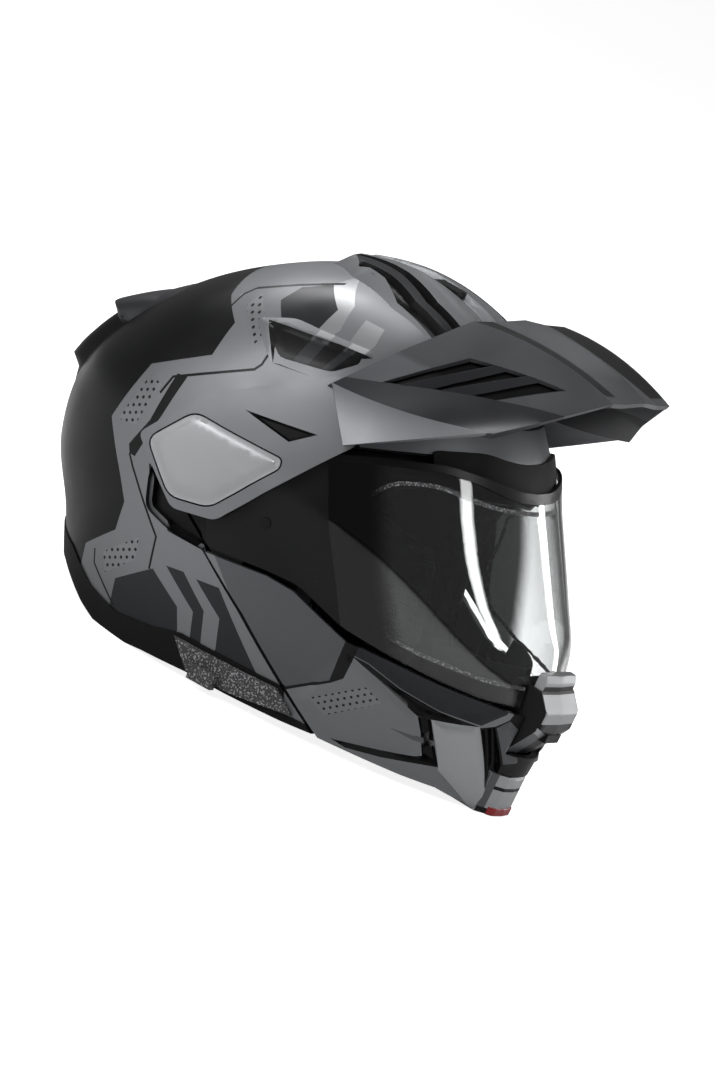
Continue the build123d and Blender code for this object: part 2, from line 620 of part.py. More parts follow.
def peak():
    """The peak's roof and fins with louvred vents, its arms on the pivots and the side lids."""
    hull = loft([peak_section(row, 0) for row in peak_row_shares], ruled=True)
    hollow = loft([peak_section(row, peak_wall) for row in peak_row_shares], ruled=True)
    roof = hull - hollow - face_skin(-peak_arm_inner - peak_arm_wall - fit_gap)
    roof = largest(roof)
    hole = side_prism(peak_vent_shares)
    write("peak_shell", largest(roof - hole))
    frame = roof & side_prism(peak_vent_shares, -fit_gap)
    opening = side_prism(peak_vent_shares, -fit_gap - louvre_wall)
    slats = None
    back, up = peak_vent_shares[1]
    for step in range(louvre_count):
        place = back * skin_radius + (step - louvre_count // 2) * louvre_pitch
        slat = Pos(0, place, up * skin_radius)
        slat = slat * Rotation(louvre_slant, 0, 0) * Box(far, louvre_wall, far)
        slats = slat if slats is None else slats + slat
    write_pair("peak_louvre", (frame - opening) + (frame & opening & slats))

    outer, inner = face_skin(-peak_arm_inner - peak_arm_wall), face_skin(-peak_arm_inner)
    panel = layer(outer, inner, side_prism(peak_arm_shares))
    for side, word in ((1, "left"), (-1, "right")):
        plate = slab(peak_arm_shares, peak_plate_inner, peak_plate_inner + peak_plate_wall, side)
        plate = plate & disc(peak_plate_radius, pod_floor, reach, side)
        wing = (panel & half_space(side)) - disc(peak_plate_radius - peak_plate_wall, pod_floor, reach + overrun, side)
        write("peak_arm_" + word, largest(wing + plate - pin_bore(side)))
        window = disc(peak_plate_radius - peak_plate_wall - fit_gap, pod_floor, reach, side)
        lid = slab(lid_shares, lid_inner, lid_inner + lid_wall, side) & face_skin(-lid_crown) & window
        cavity = disc(pin_head_radius + fit_gap, pod_floor, lid_inner + pin_head_wall + fit_gap, side)
        write("side_lid_" + word, largest(lid - cavity))


def straps():
    """The chin strap's two ends with their rivets, and the ratchet buckle with its lever."""
    points = [(across * skin_radius, up * skin_radius) for across, up in strap_path_shares]
    band = Rotation(90, 0, 0) * trace(Polyline(*points), strap_wall)
    band = Pos(0, -strap_setback, 0) * extrude(band, amount=strap_width / 2, dir=(0, 1, 0), both=True)
    level = strap_path_shares[-1][1] * skin_radius
    hinge_end = -buckle_place - buckle_length / 2
    ladder = Pos(far + hinge_end + buckle_lever_wall + barrel_radius, 0, 0) * Box(far + far, far, far + far)
    write("chin_strap_left", largest(band & ladder))
    sewn = Pos(-far + hinge_end, 0, 0) * Box(far + far, far, far + far)
    write("chin_strap_right", largest(mirror(band, Plane.YZ) & sewn))
    (top_across, top_up) = strap_path_shares[0]
    rivet = Pos(0, -strap_setback, top_up * skin_radius - rivet_radius) * Rotation(0, 90, 0) * Cylinder(
        rivet_radius, reach + reach)
    rivet = rivet & shell_skin(trim_depth)
    seat = top_across * skin_radius + strap_wall / 2
    write("strap_rivets", Compound(children=[largest(rivet & outside(seat, side)) for side in (-1, 1)]))

    top = level - strap_wall / 2 - ladder_gap - buckle_floor + buckle_height
    frame = Pos(-buckle_place, -strap_setback, top - buckle_height / 2) * Box(buckle_length, buckle_width, buckle_height)
    tunnel = Box(buckle_length, strap_width + ladder_gap + ladder_gap, strap_wall + ladder_gap + ladder_gap)
    frame = frame - Pos(-buckle_place + buckle_floor, -strap_setback, level) * tunnel
    axis = Pos(hinge_end + barrel_radius + fit_gap, -strap_setback, top + fit_gap + barrel_radius) * Rotation(90, 0, 0)
    lug_width = (buckle_width - buckle_lever_width) / 2 - fit_gap
    for side in (-1, 1):
        lug_place = -strap_setback + side * (buckle_width - lug_width) / 2
        frame = frame + Pos(hinge_end + barrel_radius + fit_gap, lug_place, top + barrel_radius / 2) * Box(
            barrel_radius + barrel_radius, lug_width, barrel_radius + fit_gap + fit_gap)
        frame = frame + Pos(0, side * (buckle_width - lug_width) / 2, 0) * axis * Cylinder(barrel_radius, lug_width)
    write("buckle_frame", largest(frame - axis * Cylinder(hinge_pin_radius, buckle_width)))
    write("buckle_pin", axis * Cylinder(hinge_pin_radius, buckle_width))
    plate = Pos(hinge_end + barrel_radius + fit_gap + buckle_lever_length / 2, -strap_setback,
                top + fit_gap + buckle_lever_wall / 2) * Box(buckle_lever_length, buckle_lever_width, buckle_lever_wall)
    lever = plate + axis * Cylinder(barrel_radius, buckle_lever_width)
    write("buckle_lever", lever - axis * Cylinder(hinge_pin_radius + pin_clearance, buckle_width))


write("outer_shell", outer_shell())
shell_liner()
pads()
write("base_trim", base_trim())
write("eyeport_gasket", eyeport_gasket())
chin_bar()
latches()
nose_and_block()
pivots()
face_shield()
sun_visor()
top_fittings()
peak()
straps()
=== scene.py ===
# %% [markdown]
# A dual sport helmet: a moulded shell, a chin bar that flips up, a clear face shield and a peak, all turning
# about one axis through the temples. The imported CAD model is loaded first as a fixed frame. Every new piece
# is a surface laid over that frame, so nothing has to be fitted afterwards.
# %% Load the fixed frame
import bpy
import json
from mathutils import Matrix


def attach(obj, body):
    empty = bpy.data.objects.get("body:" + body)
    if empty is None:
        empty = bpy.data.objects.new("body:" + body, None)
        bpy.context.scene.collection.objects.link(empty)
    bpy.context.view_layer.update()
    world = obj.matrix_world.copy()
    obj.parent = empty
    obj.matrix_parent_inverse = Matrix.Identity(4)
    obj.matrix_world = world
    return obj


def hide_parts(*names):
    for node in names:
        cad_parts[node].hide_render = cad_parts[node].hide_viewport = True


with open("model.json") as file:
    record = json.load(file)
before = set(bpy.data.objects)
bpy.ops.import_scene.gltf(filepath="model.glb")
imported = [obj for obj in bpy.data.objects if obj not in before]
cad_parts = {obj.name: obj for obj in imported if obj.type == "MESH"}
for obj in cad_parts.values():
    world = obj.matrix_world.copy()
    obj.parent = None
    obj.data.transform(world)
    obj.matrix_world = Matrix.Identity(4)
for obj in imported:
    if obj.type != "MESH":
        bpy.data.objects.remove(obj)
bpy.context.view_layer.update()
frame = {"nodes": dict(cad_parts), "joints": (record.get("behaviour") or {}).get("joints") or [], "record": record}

# %% The tools of the trade
import json

import bpy
import numpy as np
from mathutils import Matrix
from mathutils.geometry import delaunay_2d_cdt

pivot = np.array(next(j["pos_m"] for j in frame["joints"] if j["name"] == "chin_bar_flip"))
MM = 0.001
SIZE = 140.0                     # millimetres; outlines are written as shares of it
FLOOR = -121.9                   # just over the floor, in millimetres below the pivot
CHIN_FRONT = -120.0              # y of the part of the chin that faces forward
MAP_RIM = 89.99                  # the map's radius from which a point lies on the middle plane
print("pivot axis at", pivot)

# %% [markdown]
# The photograph looks at the wearer's right side, 25 degrees forward of square, with a long lens. The helmet
# in it is held level as worn, while the part stands on its lower edge, so the camera is rolled by the tilt
# between the two. The camera comes first, because every later look depends on it.
# %% Camera
tilt, off_side = np.radians(28.3), np.radians(25.0)
back = np.array([-np.cos(off_side), -np.sin(off_side) * np.cos(tilt), np.sin(off_side) * np.sin(tilt)])
up = np.array([0.0, np.sin(tilt), np.cos(tilt)])
right = np.cross(up, back)
pixels_per_mm, distance = 1.78, 4.5
photo_wide, photo_high = 715, 1074
pivot_across, pivot_down = 310.0, 455.0        # where the photograph shows the pivot, in pixels
aim = (right * (photo_wide / 2 - pivot_across) + up * (pivot_down - photo_high / 2)) / pixels_per_mm * MM
lens = bpy.data.cameras.new("camera")
lens.sensor_width = 36.0
lens.lens = pixels_per_mm * distance / MM / photo_high * lens.sensor_width
camera = bpy.data.objects.new("camera", lens)
bpy.context.scene.collection.objects.link(camera)
turn = Matrix(np.column_stack([right, up, back]).tolist()).to_4x4()
camera.matrix_world = Matrix.Translation((pivot + aim + back * distance).tolist()) @ turn
bpy.context.scene.camera = camera
bpy.context.scene.view_settings.view_transform = "Standard"
print("lens", round(lens.lens, 1), "mm at", [round(float(v), 3) for v in camera.location])

# %% [markdown]
# Every look here is a graph of small nodes. Three helpers write them: one sets inputs, one adds a node with
# its inputs, and one adds a sum.
# %% Node graphs
def feed(tree, node, values):
    """Gives a node's inputs, by name or number, a value or a link from another node's socket."""
    for key, value in values.items():
        if isinstance(value, bpy.types.NodeSocket):
            tree.links.new(value, node.inputs[key])
        else:
            node.inputs[key].default_value = value


def add_node(tree, kind, values=None, **settings):
    """A new shader node with its settings and its inputs."""
    node = tree.nodes.new("ShaderNode" + kind)
    for key, value in settings.items():
        setattr(node, key, value)
    feed(tree, node, values or {})
    return node


def math_node(tree, operation, *values):
    """One sum of one to three sockets or numbers."""
    return add_node(tree, "Math", dict(enumerate(values)), operation=operation).outputs[0]


print("node helpers ready")


# %% [markdown]
# Product photographs of dark helmets are lit by large soft boxes: one high on the camera's side, a long one
# for the crown's edge light, strips in front and behind for the shield, and a fill. The world is white to the
# camera and through glass, and nearly dark for everything else, so that black stays black.
# %% World
def looked_at(tree):
    """1 for the camera's rays, also through glass, as long as nothing has mirrored them: Cycles counts a ray
    that glass throws back as transmitted too, and a white world in it would fog the shield."""
    path = add_node(tree, "LightPath").outputs
    straight = math_node(tree, "LESS_THAN", path["Glossy Depth"], 0.5)
    through = math_node(tree, "MULTIPLY", path["Is Transmission Ray"], straight)
    return path, math_node(tree, "MAXIMUM", path["Is Camera Ray"], through)


world = bpy.data.worlds.new("studio")
bpy.context.scene.world = world
world.use_nodes = True
tree = world.node_tree
tree.nodes.clear()
path, seen = looked_at(tree)
sheen = math_node(tree, "MULTIPLY_ADD", path["Is Glossy Ray"], 0.05, seen)
level = add_node(tree, "MapRange", {"To Min": 0.10, "To Max": 1.0, "Value": sheen}).outputs[0]
sky = add_node(tree, "Background", {"Color": (1, 1, 1, 1), "Strength": level}).outputs[0]
add_node(tree, "OutputWorld", {"Surface": sky})
print("world ready")


# %% Lamps
def softbox(name, spot, size, watts):
    """A rectangular area lamp at a spot given in camera directions (right, up, back), facing the helmet."""
    lamp = bpy.data.lights.new(name, "AREA")
    lamp.shape, lamp.size, lamp.size_y, lamp.energy = "RECTANGLE", size[0], size[1], watts
    holder = bpy.data.objects.new(name, lamp)
    bpy.context.scene.collection.objects.link(holder)
    middle = np.array([0.0, 0.0, 0.13])
    place = middle + right * spot[0] + up * spot[1] + back * spot[2]
    away = (place - middle) / np.linalg.norm(place - middle)
    side = np.cross(up, away)
    side = side / np.linalg.norm(side)
    holder.matrix_world = Matrix.Translation(place.tolist()) @ Matrix(
        np.column_stack([side, np.cross(away, side), away]).tolist()).to_4x4()
    return holder


softbox("key", (-0.9, 1.3, 1.5), (1.7, 1.2), 30)
softbox("crown_light", (0.25, 1.7, -0.6), (1.6, 0.30), 16)
softbox("front_strip", (1.7, 0.25, 0.6), (0.25, 1.4), 9)
softbox("fill", (-1.7, -0.1, 0.8), (0.7, 1.2), 12)
softbox("edge_strip", (1.25, 0.1, -1.05), (0.10, 1.2), 5)
print("five soft boxes")

# %% [markdown]
# The floor is a plain pale sheet. To the camera it adds a little light of its own, so that it reads as white
# paper while it still takes the helmet's shadow.
# %% Floor
sheet_mesh = bpy.data.meshes.new("floor")
edge = 30.0
corners = [(-edge, -edge, 0), (edge, -edge, 0), (edge, edge, 0), (-edge, edge, 0)]
sheet_mesh.from_pydata(corners, [], [(0, 1, 2, 3)])
floor = bpy.data.objects.new("floor", sheet_mesh)
bpy.context.scene.collection.objects.link(floor)
paper = bpy.data.materials.new("paper")
paper.use_nodes = True
tree = paper.node_tree
tree.nodes.clear()
glow = math_node(tree, "MULTIPLY", looked_at(tree)[1], 0.86)
both = add_node(tree, "AddShader", {
    0: add_node(tree, "BsdfDiffuse", {"Color": (0.8, 0.8, 0.8, 1)}).outputs[0],
    1: add_node(tree, "Emission", {"Strength": glow}).outputs[0]})
add_node(tree, "OutputMaterial", {"Surface": both.outputs[0]})
sheet_mesh.materials.append(paper)
print("floor laid")

# %% [markdown]
# The helmet's skin is one family of curves. In the side view it is a closed outline about the pivot axis,
# kept as a table of angle, radius and fullness. Across, every radius shrinks along a superellipse, from full
# size on the middle plane to nothing at the pivot. The same tables shaped the CAD solids, so the finished
# surfaces lie where the solids are.
# %% The two skins
low_rows = [(-59.7, 1.586, 2.2), (-42.7, 1.657, 1.9), (-32.7, 1.643, 1.75), (-22.7, 1.55, 1.7),
            (-12.7, 1.443, 1.8), (-2.7, 1.229, 2.1), (12.3, 1.057, 2.2)]
shell_brow = [(27.3, 0.95, 2.3), (42.3, 0.914, 2.3), (57.3, 0.911, 2.3), (72.3, 0.875, 2.3), (87.3, 0.839, 2.3)]
face_brow = [(27.3, 0.998, 2.3), (42.3, 0.975, 2.3), (57.3, 0.96, 2.3), (72.3, 0.93, 2.3), (87.3, 0.90, 2.3)]
rear_rows = [(105.3, 0.793, 2.3), (122.3, 0.771, 2.3), (142.3, 0.793, 2.3), (162.3, 0.857, 2.3),
             (182.3, 0.957, 2.3), (202.3, 0.989, 2.3), (222.3, 0.979, 2.4), (237.3, 1.071, 2.5),
             (257.3, 1.214, 2.6), (277.3, 1.357, 2.6)]
shell_skin = (np.array(low_rows + shell_brow + rear_rows), 125.0)
face_skin = (np.array(low_rows + face_brow + rear_rows), 127.0)


def smooth(angle, xs, ys):
    """A closed curve through a table: on each stretch the cubic that meets both ends with the table's slopes."""
    xs, ys = np.concatenate([xs - 360, xs, xs + 360]), np.tile(ys, 3)
    slopes = np.gradient(ys, xs)
    i = np.clip(np.searchsorted(xs, angle) - 1, 0, len(xs) - 2)
    h = xs[i + 1] - xs[i]
    t = (angle - xs[i]) / h
    return ((2 * t**3 - 3 * t**2 + 1) * ys[i] + (t**3 - 2 * t**2 + t) * h * slopes[i]
            + (3 * t**2 - 2 * t**3) * ys[i + 1] + (t**3 - t**2) * h * slopes[i + 1])


def outline_at(skin, around):
    """Radius in millimetres and fullness of a skin at angles around the pivot, in degrees."""
    rows, _ = skin
    return smooth(around, rows[:, 0], rows[:, 1]) * SIZE, smooth(around, rows[:, 0], rows[:, 2])


def skin_point(skin, uv, lift=0.0):
    """Half a skin is drawn as a round map: the pivot is its middle, the middle plane its rim at 90.
    On the map, across = 90 - distance from the middle, and around is the map's own angle. In space
    rho = cos(across)^(2/n) scales the radius and share = sin(across)^(2/n) the half width."""
    u, v = uv[:, 0], uv[:, 1]
    around = np.degrees(np.arctan2(v, -u))
    across = np.radians(np.clip(90 - np.hypot(u, v), 0, 90))
    radius, n = outline_at(skin, around)
    rho = np.cos(across) ** (2 / n) * (radius + lift)
    a = np.radians(around)
    return np.column_stack([np.sin(across) ** (2 / n) * (skin[1] + lift), -np.cos(a) * rho, np.sin(a) * rho])


def side_to_map(skin, yz):
    """The map's point under a point of the side view, and the point's radius as a share of the outline's."""
    around = np.degrees(np.arctan2(yz[:, 1], -yz[:, 0]))
    radius, n = outline_at(skin, around)
    rho = np.hypot(yz[:, 0], yz[:, 1]) / radius
    r = 90 - np.degrees(np.arccos(np.clip(rho, 0, 1) ** (n / 2)))
    a = np.radians(around)
    return np.column_stack([-np.cos(a) * r, np.sin(a) * r]), rho


print("skins of", len(shell_skin[0]), "rows; crown at", outline_at(shell_skin, np.array([90.0]))[0].round(1), "mm")


# %% [markdown]
# Panels are cut from a skin by their outlines, as a trimmer cuts a moulding. The outline is drawn in the side
# view or the front view, carried onto the map, and meshed together with an even field of inner points, so
# every border is exact and colour blocks can follow painted lines. Boolean cutters would do the same with
# rougher borders and slower.
# %% Outlines
def drawn(shares, step=2.5, rounding=0.0, closed=True):
    """An outline in millimetres with short steps. Rounding cuts each corner by that length and curves it."""
    p = np.array(shares, float) * SIZE
    if rounding:
        to_last, to_next = np.roll(p, 1, 0) - p, np.roll(p, -1, 0) - p
        reach_last, reach_next = (np.linalg.norm(v, axis=1, keepdims=True) for v in (to_last, to_next))
        cut = np.minimum(rounding, 0.45 * np.minimum(reach_last, reach_next))
        a, b = p + to_last / reach_last * cut, p + to_next / reach_next * cut
        t = np.linspace(0, 1, 5)[None, :, None]
        p = ((1 - t)**2 * a[:, None] + 2 * t * (1 - t) * p[:, None] + t**2 * b[:, None]).reshape(-1, 2)
    ends = np.roll(p, -1, 0) if closed else p[1:]
    starts = p if closed else p[:-1]
    parts = [np.linspace(s, e, max(int(np.ceil(np.linalg.norm(e - s) / step)), 1), endpoint=False)
             for s, e in zip(starts, ends)]
    return np.concatenate(parts + [p[:1] if closed else p[-1:]])


def inside(loop, p):
    """Even-odd test: a point is inside where a ray to the right crosses the loop an odd number of times."""
    a, b = loop[:-1], loop[1:]
    y, z = p[:, :1], p[:, 1:]
    crosses = (a[:, 1] > z) != (b[:, 1] > z)
    rise = np.where(b[:, 1] == a[:, 1], 1e-9, b[:, 1] - a[:, 1])
    at = a[:, 0] + (z - a[:, 1]) / rise * (b[:, 0] - a[:, 0])
    return (crosses & (y < at)).sum(1) % 2 == 1


def edge_distance(loop, p):
    """Distance from each point to the nearest stretch of a loop."""
    a, d = loop[:-1], loop[1:] - loop[:-1]
    out = np.full(len(p), 1e9)
    for first in range(0, len(p), 4000):
        q = p[first:first + 4000, None, :] - a[None]
        t = np.clip((q * d).sum(2) / np.maximum((d * d).sum(1), 1e-9), 0, 1)
        out[first:first + 4000] = np.linalg.norm(q - t[:, :, None] * d, axis=2).min(1)
    return out


def inset(loop, depth):
    """The loop moved inwards by a depth: each point goes along the bisector of its two normals."""
    p = loop[:-1]
    d = np.roll(p, -1, 0) - p
    d = d / np.maximum(np.linalg.norm(d, axis=1, keepdims=True), 1e-9)
    turn = (p[:, 0] * np.roll(p[:, 1], -1) - np.roll(p[:, 0], -1) * p[:, 1]).sum()
    normal = np.column_stack([-d[:, 1], d[:, 0]]) * np.sign(turn)
    both = normal + np.roll(normal, 1, 0)
    both = both / np.maximum((both * both).sum(1, keepdims=True) / 2, 0.35)
    moved = p + both * depth
    return np.concatenate([moved, moved[:1]])


def side_lines(skin, loop):
    """A side view loop on the map, split where it runs off the skin past the middle plane."""
    uv, rho = side_to_map(skin, loop)
    on = rho <= 1
    cuts = np.flatnonzero(on[1:] != on[:-1])
    lines, first = [], 0
    for c in list(cuts) + [len(loop) - 1]:
        run = uv[first:c + 1][on[first:c + 1]]
        if first and on[first]:
            run = np.concatenate([rim_crossing(skin, loop, first - 1), run])
        if c < len(loop) - 1 and on[c]:
            run = np.concatenate([run, rim_crossing(skin, loop, c)])
        if len(run) > 1:
            lines.append(run)
        first = c + 1
    return lines


def rim_crossing(skin, loop, i):
    """Where the loop's step after point i crosses the middle plane's outline."""
    t = np.linspace(0, 1, 200)[:, None]
    p = loop[i] * (1 - t) + loop[i + 1] * t
    _, rho = side_to_map(skin, p)
    q = p[np.argmin(np.abs(rho - 1))]
    a = np.arctan2(q[1], -q[0])
    return np.array([[-np.cos(a) * 90, np.sin(a) * 90]])


def plan_to_map(skin, x, target, axis, first, last):
    """The map's points at distances x from the middle plane where the skin reaches a target depth (axis 1)
    or height (axis 2), found by halving the range of angles again and again."""
    x, target = np.abs(np.asarray(x, float)), np.asarray(target, float)
    low, high = np.full(len(x), float(first)), np.full(len(x), float(last))
    for _ in range(40):
        mid = (low + high) / 2
        _, n = outline_at(skin, mid)
        across = np.degrees(np.arcsin(np.clip(x / skin[1], 0, 1) ** (n / 2)))
        a = np.radians(mid)
        uv = np.column_stack([-np.cos(a), np.sin(a)]) * (90 - across)[:, None]
        more = skin_point(skin, uv)[:, axis] < target
        low, high = np.where(more, mid, low), np.where(more, high, mid)
    return uv


print("a rounded square outline has", len(drawn([(0, 0), (1, 0), (1, 1), (0, 1)], rounding=8)), "points")


# %% Cutting a panel
def field(gap):
    """Evenly spaced points of the half skin's map: rings about the pivot, each with points a gap apart."""
    rings = []
    for ring, r in enumerate(np.arange(gap / 2.3, 90, gap / 2.3)):
        count = max(int(round(2 * np.pi * r / (gap / 2.0))), 6)
        a = (np.arange(count) + 0.5 * (ring % 2)) * 2 * np.pi / count
        rings.append(np.column_stack([np.cos(a), np.sin(a)]) * r)
    a = np.linspace(0, 2 * np.pi, int(2 * np.pi * 90 / (gap / 2.6)), endpoint=False)
    rings.append(np.column_stack([np.cos(a), np.sin(a)]) * 90)
    return np.concatenate(rings)


def meshed(lines, inner, keep, near):
    """Triangles over the points of the lines and the inner points, with every line kept as edges. keep
    says which triangles stay, from their middles, and inner points nearer a line than near are left out."""
    on_lines = np.concatenate(lines)
    clear = np.ones(len(inner), bool)
    for first in range(0, len(inner), 2000):
        part = inner[first:first + 2000]
        gaps = np.abs(part[:, None, :] - on_lines[None]).sum(2).min(1)
        clear[first:first + 2000] = gaps > near
    inner = inner[clear]
    edges, start = [], 0
    for line in lines:
        edges += [(start + i, start + i + 1) for i in range(len(line) - 1)]
        start += len(line)
    points = np.concatenate([on_lines, inner])
    flat, _, faces, *_ = delaunay_2d_cdt(points.tolist(), edges, [], 0, 1e-4, False)
    flat = np.array([tuple(p) for p in flat])
    faces = np.array(faces)
    a, b, c = (flat[faces[:, i]] for i in range(3))
    area = np.abs((b[:, 0] - a[:, 0]) * (c[:, 1] - a[:, 1]) - (b[:, 1] - a[:, 1]) * (c[:, 0] - a[:, 0]))
    faces = faces[area > 1e-5]
    middle = flat[faces].mean(1)
    faces = faces[keep(middle)]
    used, faces = np.unique(faces, return_inverse=True)
    return flat[used], faces.reshape(-1, 3)


def piece(name, points, faces, finishes, slots=None):
    """A mesh object from points in millimetres about the pivot. slots gives each face its finish."""
    mesh = bpy.data.meshes.new(name)
    mesh.from_pydata((points * MM + pivot).tolist(), [], faces.tolist())
    for finish in finishes:
        mesh.materials.append(finish)
    if slots is not None:
        mesh.polygons.foreach_set("material_index", slots.astype(np.int32))
    mesh.polygons.foreach_set("use_smooth", np.ones(len(mesh.polygons), bool))
    mesh.update()
    made = bpy.data.objects.new(name, mesh)
    bpy.context.scene.collection.objects.link(made)
    return made


def outward(points, faces):
    """Faces wound so that their normals point away from the pivot axis' middle."""
    a, b, c = (points[faces[:, i]] for i in range(3))
    inwards = (np.cross(b - a, c - a) * (a + b + c)).sum(1) < 0
    faces = faces.copy()
    faces[inwards] = faces[inwards][:, [0, 2, 1]]
    return faces


def both_halves(points, faces):
    """Adds the mirrored half, sharing the points on the middle plane."""
    seam = np.abs(points[:, 0]) < 1e-6
    index = np.where(seam, np.arange(len(points)), np.cumsum(~seam) - 1 + len(points))
    whole = np.concatenate([points, points[~seam] * [-1, 1, 1]])
    return whole, np.concatenate([faces, index[faces][:, [0, 2, 1]]])


def grid_faces(across, along):
    """The quads of a grid of points whose rows run across."""
    i = (np.arange(across - 1)[None] + across * np.arange(along - 1)[:, None]).ravel()
    return np.column_stack([i, i + 1, i + across + 1, i + across])


def thicken(made, wall, soft=0.6, steps=2):
    """Gives a sheet its wall inwards and rounds the cut edges."""
    if wall:
        solid = made.modifiers.new("wall", "SOLIDIFY")
        solid.thickness, solid.offset = wall * MM, -1
    if soft:
        bevel = made.modifiers.new("edges", "BEVEL")
        bevel.width, bevel.segments, bevel.limit_method = soft * MM, steps, "ANGLE"
        bevel.angle_limit, bevel.harden_normals = np.radians(42), True
    return made


def panel(name, skin, loops, keep, finishes, lift=None, paint=(), gap=3.0, wall=3.0, soft=0.6, sides="both",
          extra=(), shape=None):
    """A panel of the skin. loops are side view outlines to follow, keep tests triangle middles (x, y, z),
    lift gives the height over the skin, paint lists (finish number, test), extra holds lines already on the
    map, and shape may move the finished points."""
    lines = [line for loop in loops for line in side_lines(skin, loop)] + list(extra)
    uv, faces = meshed(lines, field(gap), lambda m: keep(skin_point(skin, m)), gap * 0.3)
    flat = skin_point(skin, uv)
    points = skin_point(skin, uv, lift(flat) if lift else 0.0)
    if shape:
        points = shape(points)
    middle = flat[faces].mean(1)
    slots = np.zeros(len(faces), int)
    for number, test in paint:
        slots[test(middle)] = number
    faces = outward(points, faces)
    if sides == "both":
        points[np.hypot(uv[:, 0], uv[:, 1]) > MAP_RIM, 0] = 0
        made = [piece(name, *both_halves(points, faces), finishes, np.concatenate([slots, slots]))]
    else:
        made = [piece(name + "_left", points, faces, finishes, slots),
                piece(name + "_right", points * [-1, 1, 1], faces[:, [0, 2, 1]], finishes, slots)]
    for one in made:
        thicken(one, wall, soft)
        print(one.name, len(one.data.polygons), "triangles")
    return made


def mount(made, body, slot, *replaced):
    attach(made, body)
    if replaced:
        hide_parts(*replaced)


SIDE, PLAN, FRONT = (1, 2), (0, 1), (0, 2)


def within(loop, view=SIDE):
    """A test for points (x, y, z): inside a loop of one view."""
    return lambda p: inside(loop, flat_view(p, view))


def painted(number, *loops, view=SIDE):
    """A panel's paint list for one finish over several loops."""
    return [(number, within(loop, view)) for loop in loops]


def flat_view(p, view):
    """The two coordinates of a view, with distances across taken from the middle plane."""
    q = p[:, view].copy()
    if view[0] == 0:
        q[:, 0] = np.abs(q[:, 0])
    return q


def raised(loop, rise, slope, view=SIDE):
    """A plateau over a loop of one view: height = rise * min(distance inside the loop / slope, 1)."""
    return lambda p: rise * np.where(inside(loop, flat_view(p, view)),
                                     np.clip(edge_distance(loop, flat_view(p, view)) / slope, 0, 1), 0)


def even_lift(height):
    """The same height over the skin everywhere."""
    return lambda p: np.full(len(p), height)


def plan_lines(skin, loop):
    """A plan view loop (across, back) on the map, over the crown."""
    return plan_to_map(skin, loop[:, 0], loop[:, 1], 1, 8, 172)


def front_lines(skin, loop):
    """A front view loop (across, up) on the map, over the chin."""
    return plan_to_map(skin, loop[:, 0], loop[:, 1], 2, -62, 10)


print("cutter ready")


# %% [markdown]
# Finishes come next. The real paint is satin with a fine metallic flake; the plastics have a moulded grain;
# the fabrics are woven. Each material mixes its colour, its roughness and a small relief from noise on the
# piece's own coordinates in metres, so the grain has the same size on every piece.
# %% Building a finish
def finish(name, colour, roughness, metallic=0.0, vary=0.12, grain=1400.0, relief=0.02, coat=0.0, uneven=0.08,
           gleam=0.5):
    """A surface whose colour and roughness drift with broad noise and whose relief comes from fine noise."""
    made = bpy.data.materials.new(name)
    made.use_nodes = True
    made.diffuse_color = (*colour, 1)
    tree = made.node_tree
    place = add_node(tree, "TexCoord").outputs["Object"]
    broad = add_node(tree, "TexNoise", {"Scale": 22.0, "Detail": 4.0, "Vector": place}).outputs["Fac"]
    fine = add_node(tree, "TexNoise", {"Scale": grain, "Detail": 2.0, "Vector": place}).outputs["Fac"]
    drift = math_node(tree, "MULTIPLY_ADD", broad, 0.5, math_node(tree, "MULTIPLY", fine, 0.5))
    blend = add_node(tree, "Mix", {"A": (*[c * (1 - vary) for c in colour], 1),
                                   "B": (*[min(c * (1 + vary), 1) for c in colour], 1),
                                   "Factor": drift}, data_type="RGBA")
    rough = add_node(tree, "MapRange", {"From Min": 0.3, "From Max": 0.7, "To Min": roughness - uneven,
                                        "To Max": roughness + uneven, "Value": broad})
    bump = add_node(tree, "Bump", {"Strength": 1.0, "Distance": relief * MM, "Height": fine})
    feed(tree, tree.nodes["Principled BSDF"], {
        "Metallic": metallic, "Coat Weight": coat, "Coat Roughness": 0.18, "Specular IOR Level": gleam,
        "Base Color": blend.outputs["Result"], "Roughness": rough.outputs[0], "Normal": bump.outputs[0]})
    return made


def over(made, mask, colour):
    """Lays a second colour over a finish where a mask is 1."""
    tree = made.node_tree
    base = tree.nodes["Principled BSDF"].inputs["Base Color"]
    blend = add_node(tree, "Mix", {"A": base.links[0].from_socket, "B": (*colour, 1), "Factor": mask},
                     data_type="RGBA")
    tree.links.new(blend.outputs["Result"], base)
    return made


black_paint = finish("black_paint", (0.005, 0.0052, 0.0057), 0.34, coat=0.03, gleam=0.22)
silver_paint = finish("silver_paint", (0.22, 0.225, 0.235), 0.50, 0.75, grain=2200, relief=0.012, coat=0.05)
light_paint = finish("light_paint", (0.40, 0.41, 0.42), 0.42, 0.7, grain=2200, relief=0.012)
band_paint = finish("band_paint", (0.36, 0.365, 0.375), 0.42, 0.7, grain=2200, relief=0.012)
grey_paint = finish("grey_paint", (0.038, 0.039, 0.043), 0.42, 0.5, grain=2000)
slate_paint = finish("slate_paint", (0.026, 0.027, 0.03), 0.36, 0.3, grain=2000, gleam=0.3)
mid_paint = finish("mid_paint", (0.115, 0.118, 0.125), 0.44, 0.65, grain=2200, relief=0.012)
black_plastic = finish("black_plastic", (0.005, 0.005, 0.0054), 0.40, grain=1600, relief=0.04, gleam=0.2)
rubber = finish("rubber", (0.006, 0.006, 0.006), 0.7, grain=900, relief=0.05, gleam=0.2)
red_plastic = finish("red_plastic", (0.32, 0.008, 0.012), 0.3, grain=1200, relief=0.01)
steel = finish("steel", (0.5, 0.5, 0.51), 0.3, 1.0, grain=3000, relief=0.01)
